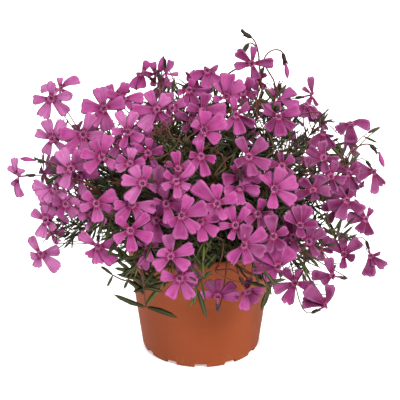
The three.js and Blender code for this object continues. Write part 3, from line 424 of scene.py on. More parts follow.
TWIGS = (
    TwigRow(TwigEnd.BUD, 0, 0, ((60, 176), (57, 166), (45, 162), (26, 160))),
    TwigRow(TwigEnd.BUD, 4, 0, ((264, 60), (272, 50), (282, 51), (288, 78))),
    TwigRow(TwigEnd.BUD, 0, 0, ((352, 151), (365, 145), (375, 151), (382, 168))),
    TwigRow(TwigEnd.CALYX, 12, 0, ((261, 78), (258, 47), (253, 37), (242, 31))),
    TwigRow(TwigEnd.CALYX, 16, 0, ((259, 60), (256, 44), (250, 41), (243, 51))),
    TwigRow(TwigEnd.BUD, 0, 0, ((160, 84), (159, 72), (163, 59))),
    TwigRow(TwigEnd.SHOOT, 0, 0.7, ((347, 166), (353, 152), (361, 140), (370, 133))),
    TwigRow(TwigEnd.SHOOT, 4, 1.1, ((141, 266), (144, 284), (147, 302))),
    TwigRow(TwigEnd.SHOOT, 0, 0.9, ((128, 280), (113, 275), (101, 267))),
    TwigRow(TwigEnd.SHOOT, -8, 0.9, ((262, 262), (265, 285), (264, 296))),
    TwigRow(TwigEnd.SHOOT, 4, 0.8, ((275, 100), (278, 90), (281, 83))),
    TwigRow(TwigEnd.SHOOT, 15, 1.1, ((152, 236), (148, 252), (139, 264))),
    TwigRow(TwigEnd.SHOOT, 12, 1.1, ((204, 240), (203, 254), (201, 276), (197, 288))),
    TwigRow(TwigEnd.SHOOT, 18, 1.1, ((222, 240), (223, 252), (219, 266))),
    TwigRow(TwigEnd.SHOOT, 21, 0.9, ((180, 240), (174, 256), (166, 276))),
    TwigRow(TwigEnd.SHOOT, 10, 1.0, ((300, 246), (304, 258), (303, 268))),
    TwigRow(TwigEnd.SHOOT, 14, 1.0, ((120, 226), (114, 240), (110, 256))),
    TwigRow(TwigEnd.SHOOT, 14, 1.1, ((250, 250), (253, 262), (256, 276))),
)


# ---- small vector tools
def vec(*values: float) -> Array:
    """Returns the values as one vector."""
    return np.array(values, dtype=float)


def unit(a: Array) -> Array:
    """Returns the vector, or each row's vector, at length one."""
    return a / np.linalg.norm(a, axis=-1, keepdims=True)


def across(d: Array) -> Array:
    """Returns a unit vector across d."""
    return unit(np.cross(UP_Z if abs(d[2]) < 0.9 else vec(1, 0, 0), d))


def swung(axes: tuple[Array, Array], reach: float, angle: float) -> Array:
    """Returns the step of this length at this angle between two axes."""
    return axes[0] * (reach * math.cos(angle)) + axes[1] * (reach * math.sin(angle))


def bezier(control: list[Array], count: int) -> Array:
    """Samples a cubic Bezier.

    Args:
        control: its four control points.
        count: how many equal steps of its parameter to take.

    Returns:
        count + 1 points, one a row.
    """
    t = np.linspace(0, 1, count + 1)[:, None]
    s = 1 - t
    a, b, c, d = control
    return s**3 * a + 3 * s * s * t * b + 3 * s * t * t * c + t**3 * d


def along(points: Array, t: float) -> tuple[Array, Array]:
    """Returns the place and the direction at t, from 0 to 1, along a line of points."""
    at = t * (len(points) - 1)
    i = min(len(points) - 2, int(math.floor(at)))
    step = points[i + 1] - points[i]
    return points[i] + step * (at - i), unit(step)


def reached(points: Array, short: float) -> Array:
    """Returns the place this far short of the end of a line of points, measured straight."""
    gaps = np.linalg.norm(points - points[-1], axis=1)
    i = int(np.nonzero(gaps >= short)[0][-1])
    share = (gaps[i] - short) / max(1e-9, gaps[i] - gaps[i + 1])
    return points[i] + (points[i + 1] - points[i]) * share


def finer(points: Array, n: int) -> Array:
    """Returns the line of points with every stretch cut in n."""
    share = (np.arange(1, n + 1) / n)[None, :, None]
    inner = points[:-1, None] + np.diff(points, axis=0)[:, None] * share
    return np.vstack([points[:1], inner.reshape(-1, 3)])


def centripetal(points: Array, count: int) -> Array:
    """Samples the centripetal Catmull-Rom curve through the points.

    Args:
        points: the points it passes, one a row.
        count: how many equal steps of its parameter to take.

    Returns:
        count + 1 points on the curve.
    """
    ends = np.vstack([2 * points[0] - points[1], points, 2 * points[-1] - points[-2]])
    spans = len(points) - 1
    p = spans * np.arange(count + 1) / count
    i = np.minimum(p.astype(int), spans - 1)
    w = (p - i)[:, None]
    p0, p1, p2, p3 = (ends[i + k] for k in range(4))
    d0, d1, d2 = (((b - a) ** 2).sum(1, keepdims=True) ** 0.25 for a, b in ((p0, p1), (p1, p2), (p2, p3)))
    leave = ((p1 - p0) / d0 - (p2 - p0) / (d0 + d1) + (p2 - p1) / d1) * d1
    enter = ((p2 - p1) / d1 - (p3 - p1) / (d1 + d2) + (p3 - p2) / d2) * d1
    return p1 + leave * w + (3 * (p2 - p1) - 2 * leave - enter) * w**2 + (2 * (p1 - p2) + leave + enter) * w**3


class Draws:
    """Seeded draws from 0 to 1, the same sequence as the solids'."""

    MASK = 0xFFFFFFFF

    def __init__(self, seed: int) -> None:
        """Starts the sequence at the seed."""
        self.state = seed & self.MASK

    def __call__(self) -> float:
        """Returns the next draw."""
        self.state = (self.state + 0x6D2B79F5) & self.MASK
        t = self.state
        t = ((t ^ (t >> 15)) * (t | 1)) & self.MASK
        t ^= (t + (((t ^ (t >> 7)) * (t | 61)) & self.MASK)) & self.MASK
        return (t ^ (t >> 14)) / 4294967296


# ---- the chart's view
@dataclass(frozen=True)
class ChartView:
    """The view from in front and above in which the chart's places are given."""

    elevation: float = 23.7
    distance: float = 1200.0
    focal: float = 1637.0
    centre: tuple[float, float] = (200.8, 200.0)
    target: tuple[float, float, float] = (0.0, 0.0, 116.0)
    frame: float = 400.0

    @property
    def up(self) -> Array:
        """The view's upward direction."""
        e = math.radians(self.elevation)
        return vec(0, math.sin(e), math.cos(e))

    @property
    def towards(self) -> Array:
        """The direction towards the viewer."""
        e = math.radians(self.elevation)
        return vec(0, -math.cos(e), math.sin(e))

    @property
    def eye(self) -> Array:
        """The viewer's place."""
        return np.array(self.target) + self.towards * self.distance

    def ray(self, place: Point) -> Array:
        """Returns the sight line through a chart place, with the focal length as its depth."""
        sideways = vec(place[0] - self.centre[0], 0, 0)
        return self.towards * -self.focal + sideways + self.up * (self.centre[1] - place[1])

    def chart(self, points: Array) -> tuple[Array, Array]:
        """Returns where points lie on the chart, across and down."""
        off = points - self.eye
        scale = self.focal / -(off @ self.towards)
        return self.centre[0] + off[:, 0] * scale, self.centre[1] - (off @ self.up) * scale


@dataclass(frozen=True)
class Dome:
    """The plant's rounded outline, in millimetres."""

    centre: tuple[float, float, float] = (0.0, 0.0, 128.0)
    radii: tuple[float, float, float] = (121.0, 105.0, 74.0)

    def meet(self, place: Point, depth: float) -> tuple[Array, Array, float]:
        """Finds where a chart place meets the dome at this depth, or passes nearest to it.

        Args:
            place: the chart place, across and down.
            depth: 1 on the dome's surface, less inside it.

        Returns:
            The place, the sight line and how many times its length away the place is.
        """
        ray, r = VIEW.ray(place), np.array(self.radii)
        p, q = (VIEW.eye - np.array(self.centre)) / r, ray / r
        a, b, c = q @ q, p @ q, p @ p - depth * depth
        t = (-b - math.sqrt(max(0.0, b * b - a * c))) / a
        return VIEW.eye + ray * t, ray, t

    def depth(self, points: Array) -> Array:
        """Returns how deep the points lie, 1 on the surface and less inside."""
        return np.linalg.norm((points - np.array(self.centre)) / np.array(self.radii), axis=-1)


VIEW = ChartView()
DOME = Dome()


# ---- the plant's layout
@dataclass
class Bloom:
    """One bloom's place and petals.

    Attributes:
        at: the middle of its eye.
        normal: the direction it faces.
        right: its first axis across.
        size: the petals' usual length.
        angle: each petal's angle round the eye.
        lean: how far each petal leans forward.
        length: each petal's length.
        number: its number, which is its row where it is charted.
        stalk: its stalk's three points.
    """

    at: Array
    normal: Array
    right: Array
    size: float
    angle: Array
    lean: Array
    length: Array
    number: int = 0
    stalk: Array = field(default_factory=lambda: np.zeros((3, 3)))

    @property
    def over(self) -> Array:
        """The second axis across."""
        return np.cross(self.normal, self.right)

    @property
    def charted(self) -> bool:
        """Whether it has a row in the chart."""
        return self.number < len(CHART)

    def lines(self) -> tuple[Array, Array]:
        """Returns three lines of five points on each petal, and the line of the tube behind the eye."""
        u = vec(0.3, 0.5, 0.7, 0.85, 1)
        a = self.angle[:, None, None] + vec(-0.33, 0, 0.33)[:, None] * (0.5 + u / 2)
        reach = self.length[:, None, None] * u
        flat = reach * np.cos(self.lean)[:, None, None]
        lift = reach * np.sin(self.lean)[:, None, None] + 0 * a
        ways = ((flat * np.cos(a), self.right), (flat * np.sin(a), self.over), (lift, self.normal))
        petals = self.at + sum(far[..., None] * way for far, way in ways)
        return petals.reshape(-1, 5, 3), self.at - self.normal * vec(1, 5, 9, 13)[:, None]


def make_bloom(at: Array, normal: Array, right: Array, size: float, roll: float, lean: float, draws: Draws) -> Bloom:
    """Makes a bloom with five slightly uneven petals.

    Args:
        at: the middle of its eye.
        normal: the direction it faces.
        right: its first axis across.
        size: the petals' usual length.
        roll: the first petal's angle, in degrees.
        lean: how far the petals lean forward, in degrees.
        draws: the seeded draws.

    Returns:
        The bloom.
    """
    petals = []
    for p in range(5):
        angle = math.radians(roll + 72 * p) + (draws() - 0.5) * 0.16
        petals.append((angle, math.radians(lean + (draws() - 0.5) * 26), size * (0.94 + draws() * 0.12)))
    return Bloom(at, normal, right, size, *np.array(petals).T)


def facing_axes(turn: float, lift: float) -> tuple[Array, Array]:
    """Returns a bloom's first axis across and the way it faces, from its charted turn and lift in degrees."""
    a, b = math.radians(turn), math.radians(lift)
    right = vec(math.cos(a), 0, 0) - VIEW.towards * math.sin(a)
    front = vec(math.sin(a), 0, 0) + VIEW.towards * math.cos(a)
    return right, front * math.cos(b) + VIEW.up * math.sin(b)


def spread_petals(bloom: Bloom) -> None:
    """Turns a bloom's petals to their charted tips, in order round the eye and not too close together."""
    x, y = CHART[bloom.number][:2]
    tip = np.array([(*row, 0.0)[:3] for row in PETALS[bloom.number]])
    scale = float((VIEW.eye - bloom.at) @ VIEW.towards) / VIEW.focal
    flat = np.column_stack([tip[:, 0] - x, y - tip[:, 1]]) * scale
    towards = tip[:, 2] * np.sqrt(np.maximum(0, bloom.size**2 - (flat**2).sum(1)))
    way = flat[:, :1] * vec(1, 0, 0) + flat[:, 1:] * VIEW.up + towards[:, None] * VIEW.towards
    u, v, h = way @ bloom.right, way @ bloom.over, way @ bloom.normal
    order = np.argsort(np.arctan2(v, u), kind="stable")
    angle = np.arctan2(v, u)[order]
    closest, shortest = (0.45, 0.4) if bloom.number in FOLDED else (0.85, 0.6)
    for _ in range(40):
        for k in range(5):
            gap = (angle[(k + 1) % 5] - angle[k]) % FULL_TURN
            if gap < closest:
                angle[k] -= (closest - gap) / 2
                angle[(k + 1) % 5] += (closest - gap) / 2
    bloom.angle = angle
    bloom.lean = np.clip(np.arctan2(h, np.hypot(u, v)), -1.05, 1.25)[order]
    bloom.length = np.maximum(np.linalg.norm(way, axis=1), bloom.size * shortest)[order]


class PetalField:
    """All petals of a list of blooms, for fast tests of what comes near them."""

    # Half the angle that a petal takes up, and the eye's radius and how far off its plane a point still counts.
    HALF_PETAL = 0.52
    EYE_R, EYE_REACH = 2.5, 30

    def __init__(self, blooms: list[Bloom]) -> None:
        """Stacks the blooms' values."""
        self.at, self.n, self.x = (
            np.array([getattr(b, name) for b in blooms]).reshape(-1, 3) for name in ("at", "normal", "right")
        )
        self.angle, self.lean, self.length = (
            np.array([getattr(b, name) for b in blooms]).reshape(-1, 5) for name in ("angle", "lean", "length")
        )
        self.y = np.cross(self.n, self.x)
        self.size = np.array([b.size for b in blooms])

    def heights(self, points: Array, margin: Array | float) -> Array:
        """Measures how far points lie above each bloom's petals.

        Args:
            points: the points, one a row.
            margin: how far outside a petal's outline still counts, for all blooms or each.

        Returns:
            A row for each point and a column for each bloom, nan where no petal is under or over the point.
        """
        margin = np.broadcast_to(margin, self.size.shape)[None, :, None]
        d = points[:, None, :] - self.at[None]
        u, v, h = ((d * axis[None]).sum(-1) for axis in (self.x, self.y, self.n))
        r = np.maximum(np.hypot(u, v), 1e-9)
        off = np.arctan2(v, u)[..., None] - self.angle[None]
        off = np.abs(off - FULL_TURN * np.round(off / FULL_TURN))
        reach = self.length * np.cos(self.lean) + margin
        under = (off < self.HALF_PETAL + margin / r[..., None]) & (r[..., None] < reach)
        lean = self.lean[np.arange(len(self.size))[None], under.argmax(-1)]
        height = np.where(under.any(-1), (h - r * np.tan(lean)) * np.cos(lean), np.nan)
        return np.where(r < self.EYE_R, np.where(np.abs(h) < self.EYE_REACH, h, np.nan), height)

    def met(self, points: Array, gap: Array | float, own: Array | None = None, rooted: int = 0) -> Array:
        """Says which blooms' petals a line of points comes nearer to than the gap, or goes through.

        Args:
            points: the line's points, one a row.
            gap: the least distance, for all blooms or each.
            own: which blooms stand on the line's own stem.
            rooted: how many of its first points may touch those blooms.

        Returns:
            One truth value for each bloom.
        """
        h = self.heights(points, np.asarray(gap) * 0.6)
        start = np.broadcast_to(points[0], self.at.shape)
        if rooted and own is not None:
            h[:rooted, own] = np.nan
            start = np.where(own[:, None], points[rooted], start)
        with np.errstate(invalid="ignore"):
            hit = (np.abs(h) < gap).any(0) | ((h[1:] * h[:-1]) < 0).any(0)
        return hit & (np.linalg.norm(start - self.at, axis=1) <= 60 + self.size)

    def touches(self, bloom: Bloom, gap: float) -> bool:
        """Says whether a bloom's petals or tube come nearer to these petals than the gap, or go through them."""
        petals, tube = bloom.lines()
        h = self.heights(np.vstack([petals.reshape(-1, 3), tube]), gap * 0.6)
        with np.errstate(invalid="ignore"):
            parts = h[: -len(tube)].reshape(-1, 5, h.shape[1]), h[None, -len(tube) :]
            return bool((np.abs(h) < gap).any() or any((part[:, 1:] * part[:, :-1] < 0).any() for part in parts))


def pot_clear(points: Array, margin: float) -> Array:
    """Says which points stay this far from the pot and above the soil."""
    r, z = np.hypot(points[:, 0], points[:, 1]), points[:, 2]
    outer = POT.base_r + (POT.rim_r - POT.base_r) * np.maximum(0, z) / POT.height
    inside = (r < POT.inner_r - 1.6 - margin) & (z > SOIL.top + SOIL.crown + margin)
    return (z > POT.height + margin) | (r > outer + margin) | inside


@dataclass
class Needle:
    """One needle leaf: its foot, direction, sideways axis and length."""

    at: Array
    way: Array
    wide: Array
    reach: float


@dataclass
class Twig:
    """A bud, bare calyx or leafy shoot on its own way, with the points of its curve and of a smoother one."""

    row: TwigRow
    points: Array
    smooth: Array


@dataclass
class Spray:
    """One leafy stem and what grows on it."""

    direction: Array
    hole: Array
    blooms: list[Bloom] = field(default_factory=list)
    twigs: list[Twig] = field(default_factory=list)
    needles: list[Needle] = field(default_factory=list)
    control: list[Array] = field(default_factory=list)
    stem: Array = field(default_factory=lambda: np.zeros((6, 3)))


class Stalks:
    """Every stalk placed so far, as stretches with a radius, for tests of what comes near them."""

    def __init__(self) -> None:
        """Starts with none."""
        self.rows = np.zeros((0, 9))
        self.count = 0

    def add(self, points: Array, radius: float, spray: int) -> None:
        """Adds a stalk of the numbered spray."""
        steps = np.diff(points, axis=0)
        rest = np.broadcast_to((radius, spray, self.count), steps.shape)
        self.rows = np.vstack([self.rows, np.hstack([points[:-1], steps, rest])])
        self.count += 1

    def crossed(self, points: Array, radius: float, spray: int, rooted: int) -> float:
        """Counts the stalks that a line of points comes too near to.

        Args:
            points: the line's points, one a row.
            radius: its radius.
            spray: the number of its own spray.
            rooted: how many of its first points may touch their own spray's stalks, or 0 to leave those out.

        Returns:
            One for each stalk of another spray and a half for each of its own.
        """
        rows = self.rows if rooted else self.rows[self.rows[:, 7] != spray]
        if not len(rows):
            return 0.0
        step, radii, own, stalk = rows[:, 3:6], rows[:, 6], rows[:, 7] == spray, rows[:, 8]
        d = points[:, None, :] - rows[:, :3]
        t = np.clip((d * step).sum(-1) / ((step * step).sum(-1) + 1e-9), 0, 1)
        near = np.linalg.norm(d - step * t[..., None], axis=-1) < radius + radii + 0.5
        near[:rooted, own] = False
        hit = near.any(0)
        return len(set(stalk[hit & ~own])) + 0.5 * len(set(stalk[hit & own]))


class Planting:
    """Works out where every bloom, stem, stalk, twig and needle of the solids stands."""

    # What a way costs for each point in the pot or soil, each other spray's bloom it meets and each of its own.
    IN_POT, OTHER_BLOOM, OWN_BLOOM = 2.0, 3.0, 0.6
    # Where a flower's stalk may leave its stem, and a twig its stem, as shares of the stem's length.
    STALK_LEAVES = (0.99, 0.95, 0.91, 0.87, 0.83, 0.79)
    TWIG_LEAVES = (0.98, 0.9, 0.82, 0.74)

    def __init__(self) -> None:
        """Places everything in the solids' order, and then turns the charted petals."""
        self.draws = Draws(LAYOUT_SEED)
        self.blooms: list[Bloom] = []
        self.sprays: list[Spray] = []
        self.stalks = Stalks()
        self.place_charted()
        self.place_back()
        self.place_sprays()
        self.petals = PetalField(self.blooms)
        self.owner = np.zeros(len(self.blooms), int)
        for i, spray in enumerate(self.sprays):
            self.owner[[bloom.number for bloom in spray.blooms]] = i
        self.route_stems()
        self.route_stalks()
        self.place_twigs()
        self.place_needles()
        self.pose_petals()

    def keep(self, bloom: Bloom) -> None:
        """Numbers a bloom and adds it."""
        bloom.number = len(self.blooms)
        self.blooms.append(bloom)

    def fits(self, bloom: Bloom) -> bool:
        """Says whether a bloom is clear of the pot and of the blooms already placed."""
        petals, tube = bloom.lines()
        gap = BLOOM.clear
        if not pot_clear(np.vstack([petals.reshape(-1, 3), tube]), gap).all():
            return False
        near = [b for b in self.blooms if np.linalg.norm(b.at - bloom.at) <= b.size + bloom.size + 14]
        alone = PetalField([bloom])
        return not near or not (PetalField(near).touches(bloom, gap) or any(alone.touches(b, gap) for b in near))

    def place_charted(self) -> None:
        """Places the charted blooms, each on its sight line."""
        for x, y, size, turn, lift, roll, lean, depth in CHART:
            at, ray, t = DOME.meet((x, y), depth)
            right, normal = facing_axes(turn, lift)
            bloom = make_bloom(at, normal, right, size * t, roll, lean, self.draws)
            away = unit(ray)
            for step in [0.0] + [s * k for k in range(1, 21) for s in (1.5, -0.75)]:
                bloom.at = at + away * step
                if self.fits(bloom):
                    break
            else:
                bloom.at = at + away * 30
            self.keep(bloom)

    def place_back(self) -> None:
        """Places the blooms round the far side, where no charted one is near."""
        tries = BACK.count * 4
        radii = np.array(DOME.radii)
        for k in range(tries):
            if len(self.blooms) >= len(CHART) + BACK.count:
                break
            z = 1 - ((k + 0.5) / tries) * 1.42
            ring = math.sqrt(1 - z * z)
            direction = vec(ring * math.cos(k * GOLDEN), ring * math.sin(k * GOLDEN), z)
            drawn = [self.draws() for _ in range(5)]
            facing = unit(direction / radii)
            if facing @ VIEW.towards > (-0.1 if z > 0.55 else 0.06):
                continue
            normal = unit(facing + UP_Z * 0.15 + (np.array(drawn[:3]) - 0.5) * 0.9)
            at = np.array(DOME.centre) + direction * radii * (BACK.inset + (drawn[3] - 0.5) * 0.12)
            lean = (drawn[3] - 0.4) * 40
            bloom = make_bloom(at, normal, across(normal), BACK.petal, drawn[4] * 72, lean, self.draws)
            if all(np.linalg.norm(b.at - at) >= BACK.gap for b in self.blooms) and self.fits(bloom):
                self.keep(bloom)

    def pose_petals(self) -> None:
        """Turns the charted blooms' petals to their charted tips."""
        for bloom in self.blooms:
            if bloom.number in FACINGS:
                bloom.right, bloom.normal = facing_axes(*FACINGS[bloom.number])
            if bloom.number in PETALS:
                spread_petals(bloom)
        self.petals = PetalField(self.blooms)

    def place_sprays(self) -> None:
        """Fans the stems out and gives each bloom to the one that its stalk grows from."""
        core = np.array(STEMS.core)
        for k in range(STEMS.count):
            share = (k + 0.5) / STEMS.count
            z = 1 - share * (1 - STEMS.lowest)
            ring, turn, r = math.sqrt(1 - z * z), k * GOLDEN + 0.6, STEMS.disc_r * math.sqrt(share)
            direction = vec(ring * math.cos(turn), ring * math.sin(turn), z)
            self.sprays.append(Spray(direction, vec(r * math.cos(turn), r * math.sin(turn))))
        ways = np.array([s.direction for s in self.sprays])
        for bloom in self.blooms:
            behind = unit(bloom.at - bloom.normal * 12 - core)
            scores = ways @ behind - 0.012 * np.array([len(s.blooms) for s in self.sprays])
            self.sprays[int(scores.argmax())].blooms.append(bloom)
        for spray in self.sprays:
            hub = np.array(DOME.centre) + spray.direction * np.array(DOME.radii) * 0.72
            if spray.blooms:
                out = np.mean([b.at - b.normal * 10 for b in spray.blooms], axis=0) - core
                hub = core + out * max(0.45, 1 - 20 / np.linalg.norm(out))
            collar = vec(*spray.hole, SOIL.top + 3)
            bend = hub - unit(hub - core) * 26 + UP_Z * (6 + max(0.0, 118 - hub[2]) * 0.9)
            spray.control = [collar, collar + UP_Z * 22, bend, hub]

    def clashes(self, points: Array, radius: float, spray: int, rooted: int = 0, skip: int = -1) -> float:
        """Says how badly a line of points crosses what is there.

        Args:
            points: the line's points, one a row.
            radius: its radius.
            spray: the number of its own spray.
            rooted: how many of its first points may touch their own spray.
            skip: the number of a bloom left out of the test.

        Returns:
            0 where it is clear of everything, and more the more it crosses.
        """
        soiled = ~pot_clear(points, radius + 0.8) & (points[:, 2] > SOIL.top + 3)
        own = self.owner == spray
        hit = self.petals.met(points, radius + np.where(own, 0.6, 1.1), own, rooted)
        if skip >= 0:
            hit[skip] = False
        crossed = self.stalks.crossed(points, radius, spray, rooted)
        cost = self.IN_POT * soiled.sum() + self.OTHER_BLOOM * (hit & ~own).sum()
        return cost + self.OWN_BLOOM * (hit & own).sum() + crossed

    def route_stems(self) -> None:
        """Bends every stem to where it is clear, or clearest."""
        for i, spray in enumerate(self.sprays):
            collar, rise, bend, hub = spray.control
            side = across(unit(hub - collar))
            axes, least = (side, unit(np.cross(side, hub - collar))), math.inf
            for k in range(25):
                way = [collar, rise, bend + swung(axes, 9 * math.ceil(k / 8), k * EIGHTH_TURN), hub]
                cost = self.clashes(finer(bezier(way, STEMS.steps), 9), STEMS.radius, i)
                if cost < least:
                    spray.control, least = way, cost
                if cost == 0:
                    break
            foot = vec(collar[0], collar[1], SOIL.top - SOIL.hole_depth + 0.8)
            spray.stem = np.vstack([foot, bezier(spray.control, STEMS.steps)])
            self.stalks.add(spray.stem, STEMS.radius, i)

    def route_stalks(self) -> None:
        """Routes every flower's stalk."""
        for i, spray in enumerate(self.sprays):
            for j, bloom in enumerate(spray.blooms):
                bloom.stalk = self.flower_stalk(spray, i, j)
                self.stalks.add(bloom.stalk, 1.0, i)

    def flower_stalk(self, spray: Spray, i: int, j: int) -> Array:
        """Finds the clearest way for a flower's stalk.

        Args:
            spray: the spray it grows on.
            i: the spray's number.
            j: the bloom's number on the spray.

        Returns:
            Where it leaves the stem, where its tube starts and where that meets the bloom.
        """
        bloom = spray.blooms[j]
        base, side = bloom.at - bloom.normal * BLOOM.sink, across(bloom.normal)
        axes = side, np.cross(bloom.normal, side)
        found, least = None, math.inf
        for t in self.STALK_LEAVES:
            leave = along(spray.stem, t)[0]
            for k in range(13):
                off = swung(axes, 0 if k == 0 else 4 if k < 7 else 8, k * SIXTH_TURN + j)
                way = np.array([leave, base - bloom.normal * BLOOM.tube + off, base])
                turn = float(unit(way[1] - way[0]) @ unit(way[2] - way[1]))
                bent = STEMS.sharp_cost + STEMS.sharp - turn if turn < STEMS.sharp else 0
                cost = self.clashes(finer(way, 10), 0.9, i, 5, bloom.number) + bent
                if cost < least:
                    found, least = way, cost
                if cost == 0:
                    return way
        return found

    def place_twigs(self) -> None:
        """Places the buds, bare calyces and leafy shoots, each from one of the nearest stems."""
        for row in TWIGS:
            depth = 1.04 if row.end is TwigEnd.SHOOT else 1.0
            points = np.array([DOME.meet(place, depth)[0] for place in row.way])
            shift = (points[0] @ VIEW.towards - points @ VIEW.towards) * 0.8 - row.behind
            flat = points + shift[:, None] * VIEW.towards
            gaps = [np.linalg.norm(along(s.stem, 0.9)[0] - flat[0]) for s in self.sprays]
            nearest = sorted(range(len(gaps)), key=gaps.__getitem__)[: STEMS.twig_stems]
            least, chosen = math.inf, (0, flat)
            for i, t, k in itertools.product(nearest, self.TWIG_LEAVES, range(9)):
                leave, way = along(self.sprays[i].stem, t)
                gap, swing, side = float(np.linalg.norm(leave - flat[0])), 0 if k == 0 else 10, across(way)
                off = swung((side, np.cross(way, side)), swing, k * EIGHTH_TURN)
                course = np.vstack([leave, leave + way * gap * 0.25 + (flat[0] - leave) * 0.3 + off, flat])
                cost = gap / 60 + swing / 100
                if cost < least:
                    cost += self.clashes(finer(centripetal(course, 7), 6), 1.3, i, 5)
                if cost < least:
                    least, chosen = cost, (i, course)
            i, course = chosen
            twig = Twig(row, centripetal(course, 7), centripetal(course, 28))
            self.sprays[i].twigs.append(twig)
            self.stalks.add(twig.points, 1.4, i)

    def place_needles(self) -> None:
        """Places the needle leaves that the solids hold, in opposite pairs."""
        for i, spray in enumerate(self.sprays):
            feet = []
            for k in range(LEAF.nodes):
                feet.append((spray.stem, 0.985 - k * 0.2, k * QUARTER_TURN, 1.0 if k else 0.85, 2))
            for bloom in spray.blooms[::3]:
                feet.append((bloom.stalk, 0.3, self.draws() * 6, 0.9, 1))
            for twig in spray.twigs:
                if twig.row.leaf:
                    feet += [(twig.points, t, t * 9, twig.row.leaf, 2) for t in (0.6, 0.8, 0.98)]
            for points, t, turn, scale, leaves in feet:
                at, up = along(points, t)
                turn += self.draws() * 0.6
                size = LEAF.length * scale * (0.8 + self.draws() * 0.45)
                for s in (0.0, math.pi)[:leaves]:
                    self.place_needle(i, at, up, turn + s, size)

    def place_needle(self, i: int, at: Array, up: Array, turn: float, size: float) -> None:
        """Adds one needle to a spray where one of six ways is clear.

        Args:
            i: the spray's number.
            at: the needle's foot.
            up: the stalk's direction there.
            turn: the needle's angle round the stalk.
            size: its length.
        """
        shares, side = vec(0.05, 0.2, 0.35, 0.5, 0.7, 0.85, 1)[:, None], across(up)
        for k, swing in enumerate((0, 0.5, -0.5, 1, 0, 0.5)):
            reach = size * (0.65 if k > 3 else 1)
            out = swung((side, np.cross(up, side)), 1, turn + swing)
            way = up * math.cos(LEAF.spread) + out * math.sin(LEAF.spread)
            points = at + way * shares * reach
            if self.clashes(points, 0.7, i, 2) <= 0:
                self.sprays[i].needles.append(Needle(at, way, unit(np.cross(up, out)), reach))
                self.stalks.add(points[[1, 6]], 0.8, i)
                return


# ---- mesh tools
def shown(name: str, data: object) -> Object:
    """Puts a mesh, lamp or camera into the scene as an object of this name and returns that."""
    thing = bpy.data.objects.new(name, data)
    bpy.context.scene.collection.objects.link(thing)
    return thing


def mesh_of(name: str, bm: BMesh) -> Mesh:
    """Turns a shape into a mesh of this name and frees it."""
    mesh = bpy.data.meshes.new(name)
    bm.to_mesh(mesh)
    bm.free()
    return mesh


class Template:
    """A small closed shape made once with mesh operators and then stamped many times."""

    def __init__(self, bm: BMesh) -> None:
        """Reads the shape's points, its faces' corners and how many each face has, and frees it."""
        bm.verts.index_update()
        self.coords = np.array([v.co[:] for v in bm.verts])
        self.loops = np.array([v.index for f in bm.faces for v in f.verts])
        self.totals = np.array([len(f.verts) for f in bm.faces])
        bm.free()


def petal_template(steps: int) -> Template:
    """Makes a flat petal blank with an upper and an under side that share their rim.

    Args:
        steps: how many faces it has from side to side and from end to end.

    Returns:
        A template with x from -1 to 1 across, y from 0 to 1 along, and z -1 on the under side, 0 elsewhere.
    """
    bm = bmesh.new()
    bmesh.ops.create_grid(bm, x_segments=steps, y_segments=steps, size=1)
    under = bmesh.ops.duplicate(bm, geom=bm.verts[:] + bm.edges[:] + bm.faces[:])["geom"]
    bmesh.ops.reverse_faces(bm, faces=[g for g in under if isinstance(g, BMFace)])
    for v in (g for g in under if isinstance(g, BMVert)):
        v.co.z = 0 if v.is_boundary else -1
    bmesh.ops.remove_doubles(bm, verts=bm.verts, dist=1e-5)
    for v in bm.verts:
        v.co.y = (v.co.y + 1) / 2
    return Template(bm)


def ball(sides: int) -> BMesh:
    """Makes a ball of radius 1 with four rings and this many sides."""
    bm = bmesh.new()
    bmesh.ops.create_uvsphere(bm, u_segments=sides, v_segments=4, radius=1)
    return bm


def needle_template() -> Template:
    """Makes a four-sided spindle along z, from 0 to 1, with radius 1."""
    bm = ball(4)
    for v in bm.verts:
        r = max(math.hypot(v.co.x, v.co.y), 1e-6)
        v.co = (v.co.x / r, v.co.y / r, (v.co.z + 1) / 2)
    return Template(bm)


def rod_template(sides: int, steps: int) -> Template:
    """Makes a closed rod of radius 1 whose rings stand at z = 0, 1, ... steps."""
    bm = bmesh.new()
    bmesh.ops.create_cone(bm, cap_ends=True, segments=sides, radius1=1, radius2=1, depth=steps)
    upright = [e for e in bm.edges if abs(e.verts[0].co.z - e.verts[1].co.z) > 0.5]
    if steps > 1:
        bmesh.ops.subdivide_edges(bm, edges=upright, cuts=steps - 1)
    bmesh.ops.translate(bm, verts=bm.verts, vec=(0, 0, steps / 2))
    return Template(bm)


def cup_template(points: int) -> Template:
    """Makes a calyx: a closed cup with pointed lobes.

    Args:
        points: how many lobes it has.

    Returns:
        A template whose foot is at z = 0, with radius about 1, and whose lobes' tips stand at z = 1.
    """
    bm = bmesh.new()
    bmesh.ops.create_cone(bm, cap_ends=True, segments=points * 2, radius1=0.4, radius2=1, depth=0.2)
    bmesh.ops.translate(bm, verts=bm.verts, vec=(0, 0, 0.1))
    top = max(bm.faces, key=lambda f: f.calc_center_median().z)
    for rise, grow in ((0.22, 1.0), (0.2, 0.94)):
        bmesh.ops.inset_region(bm, faces=[top], thickness=0)
        for v in top.verts:
            v.co = (v.co.x * grow, v.co.y * grow, v.co.z + rise)
    bmesh.ops.inset_region(bm, faces=[top], thickness=0)
    for v in top.verts:
        lobe = round(math.atan2(v.co.y, v.co.x) / math.pi * points) % 2 == 0
        grow, height = (1.15, 1.0) if lobe else (1.02, 0.62)
        v.co = (v.co.x * grow, v.co.y * grow, height)
    bmesh.ops.inset_region(bm, faces=[top], thickness=0)
    for v in top.verts:
        shrink = 0.62 / math.hypot(v.co.x, v.co.y)
        v.co = (v.co.x * shrink, v.co.y * shrink, 0.58)
    return Template(bm)


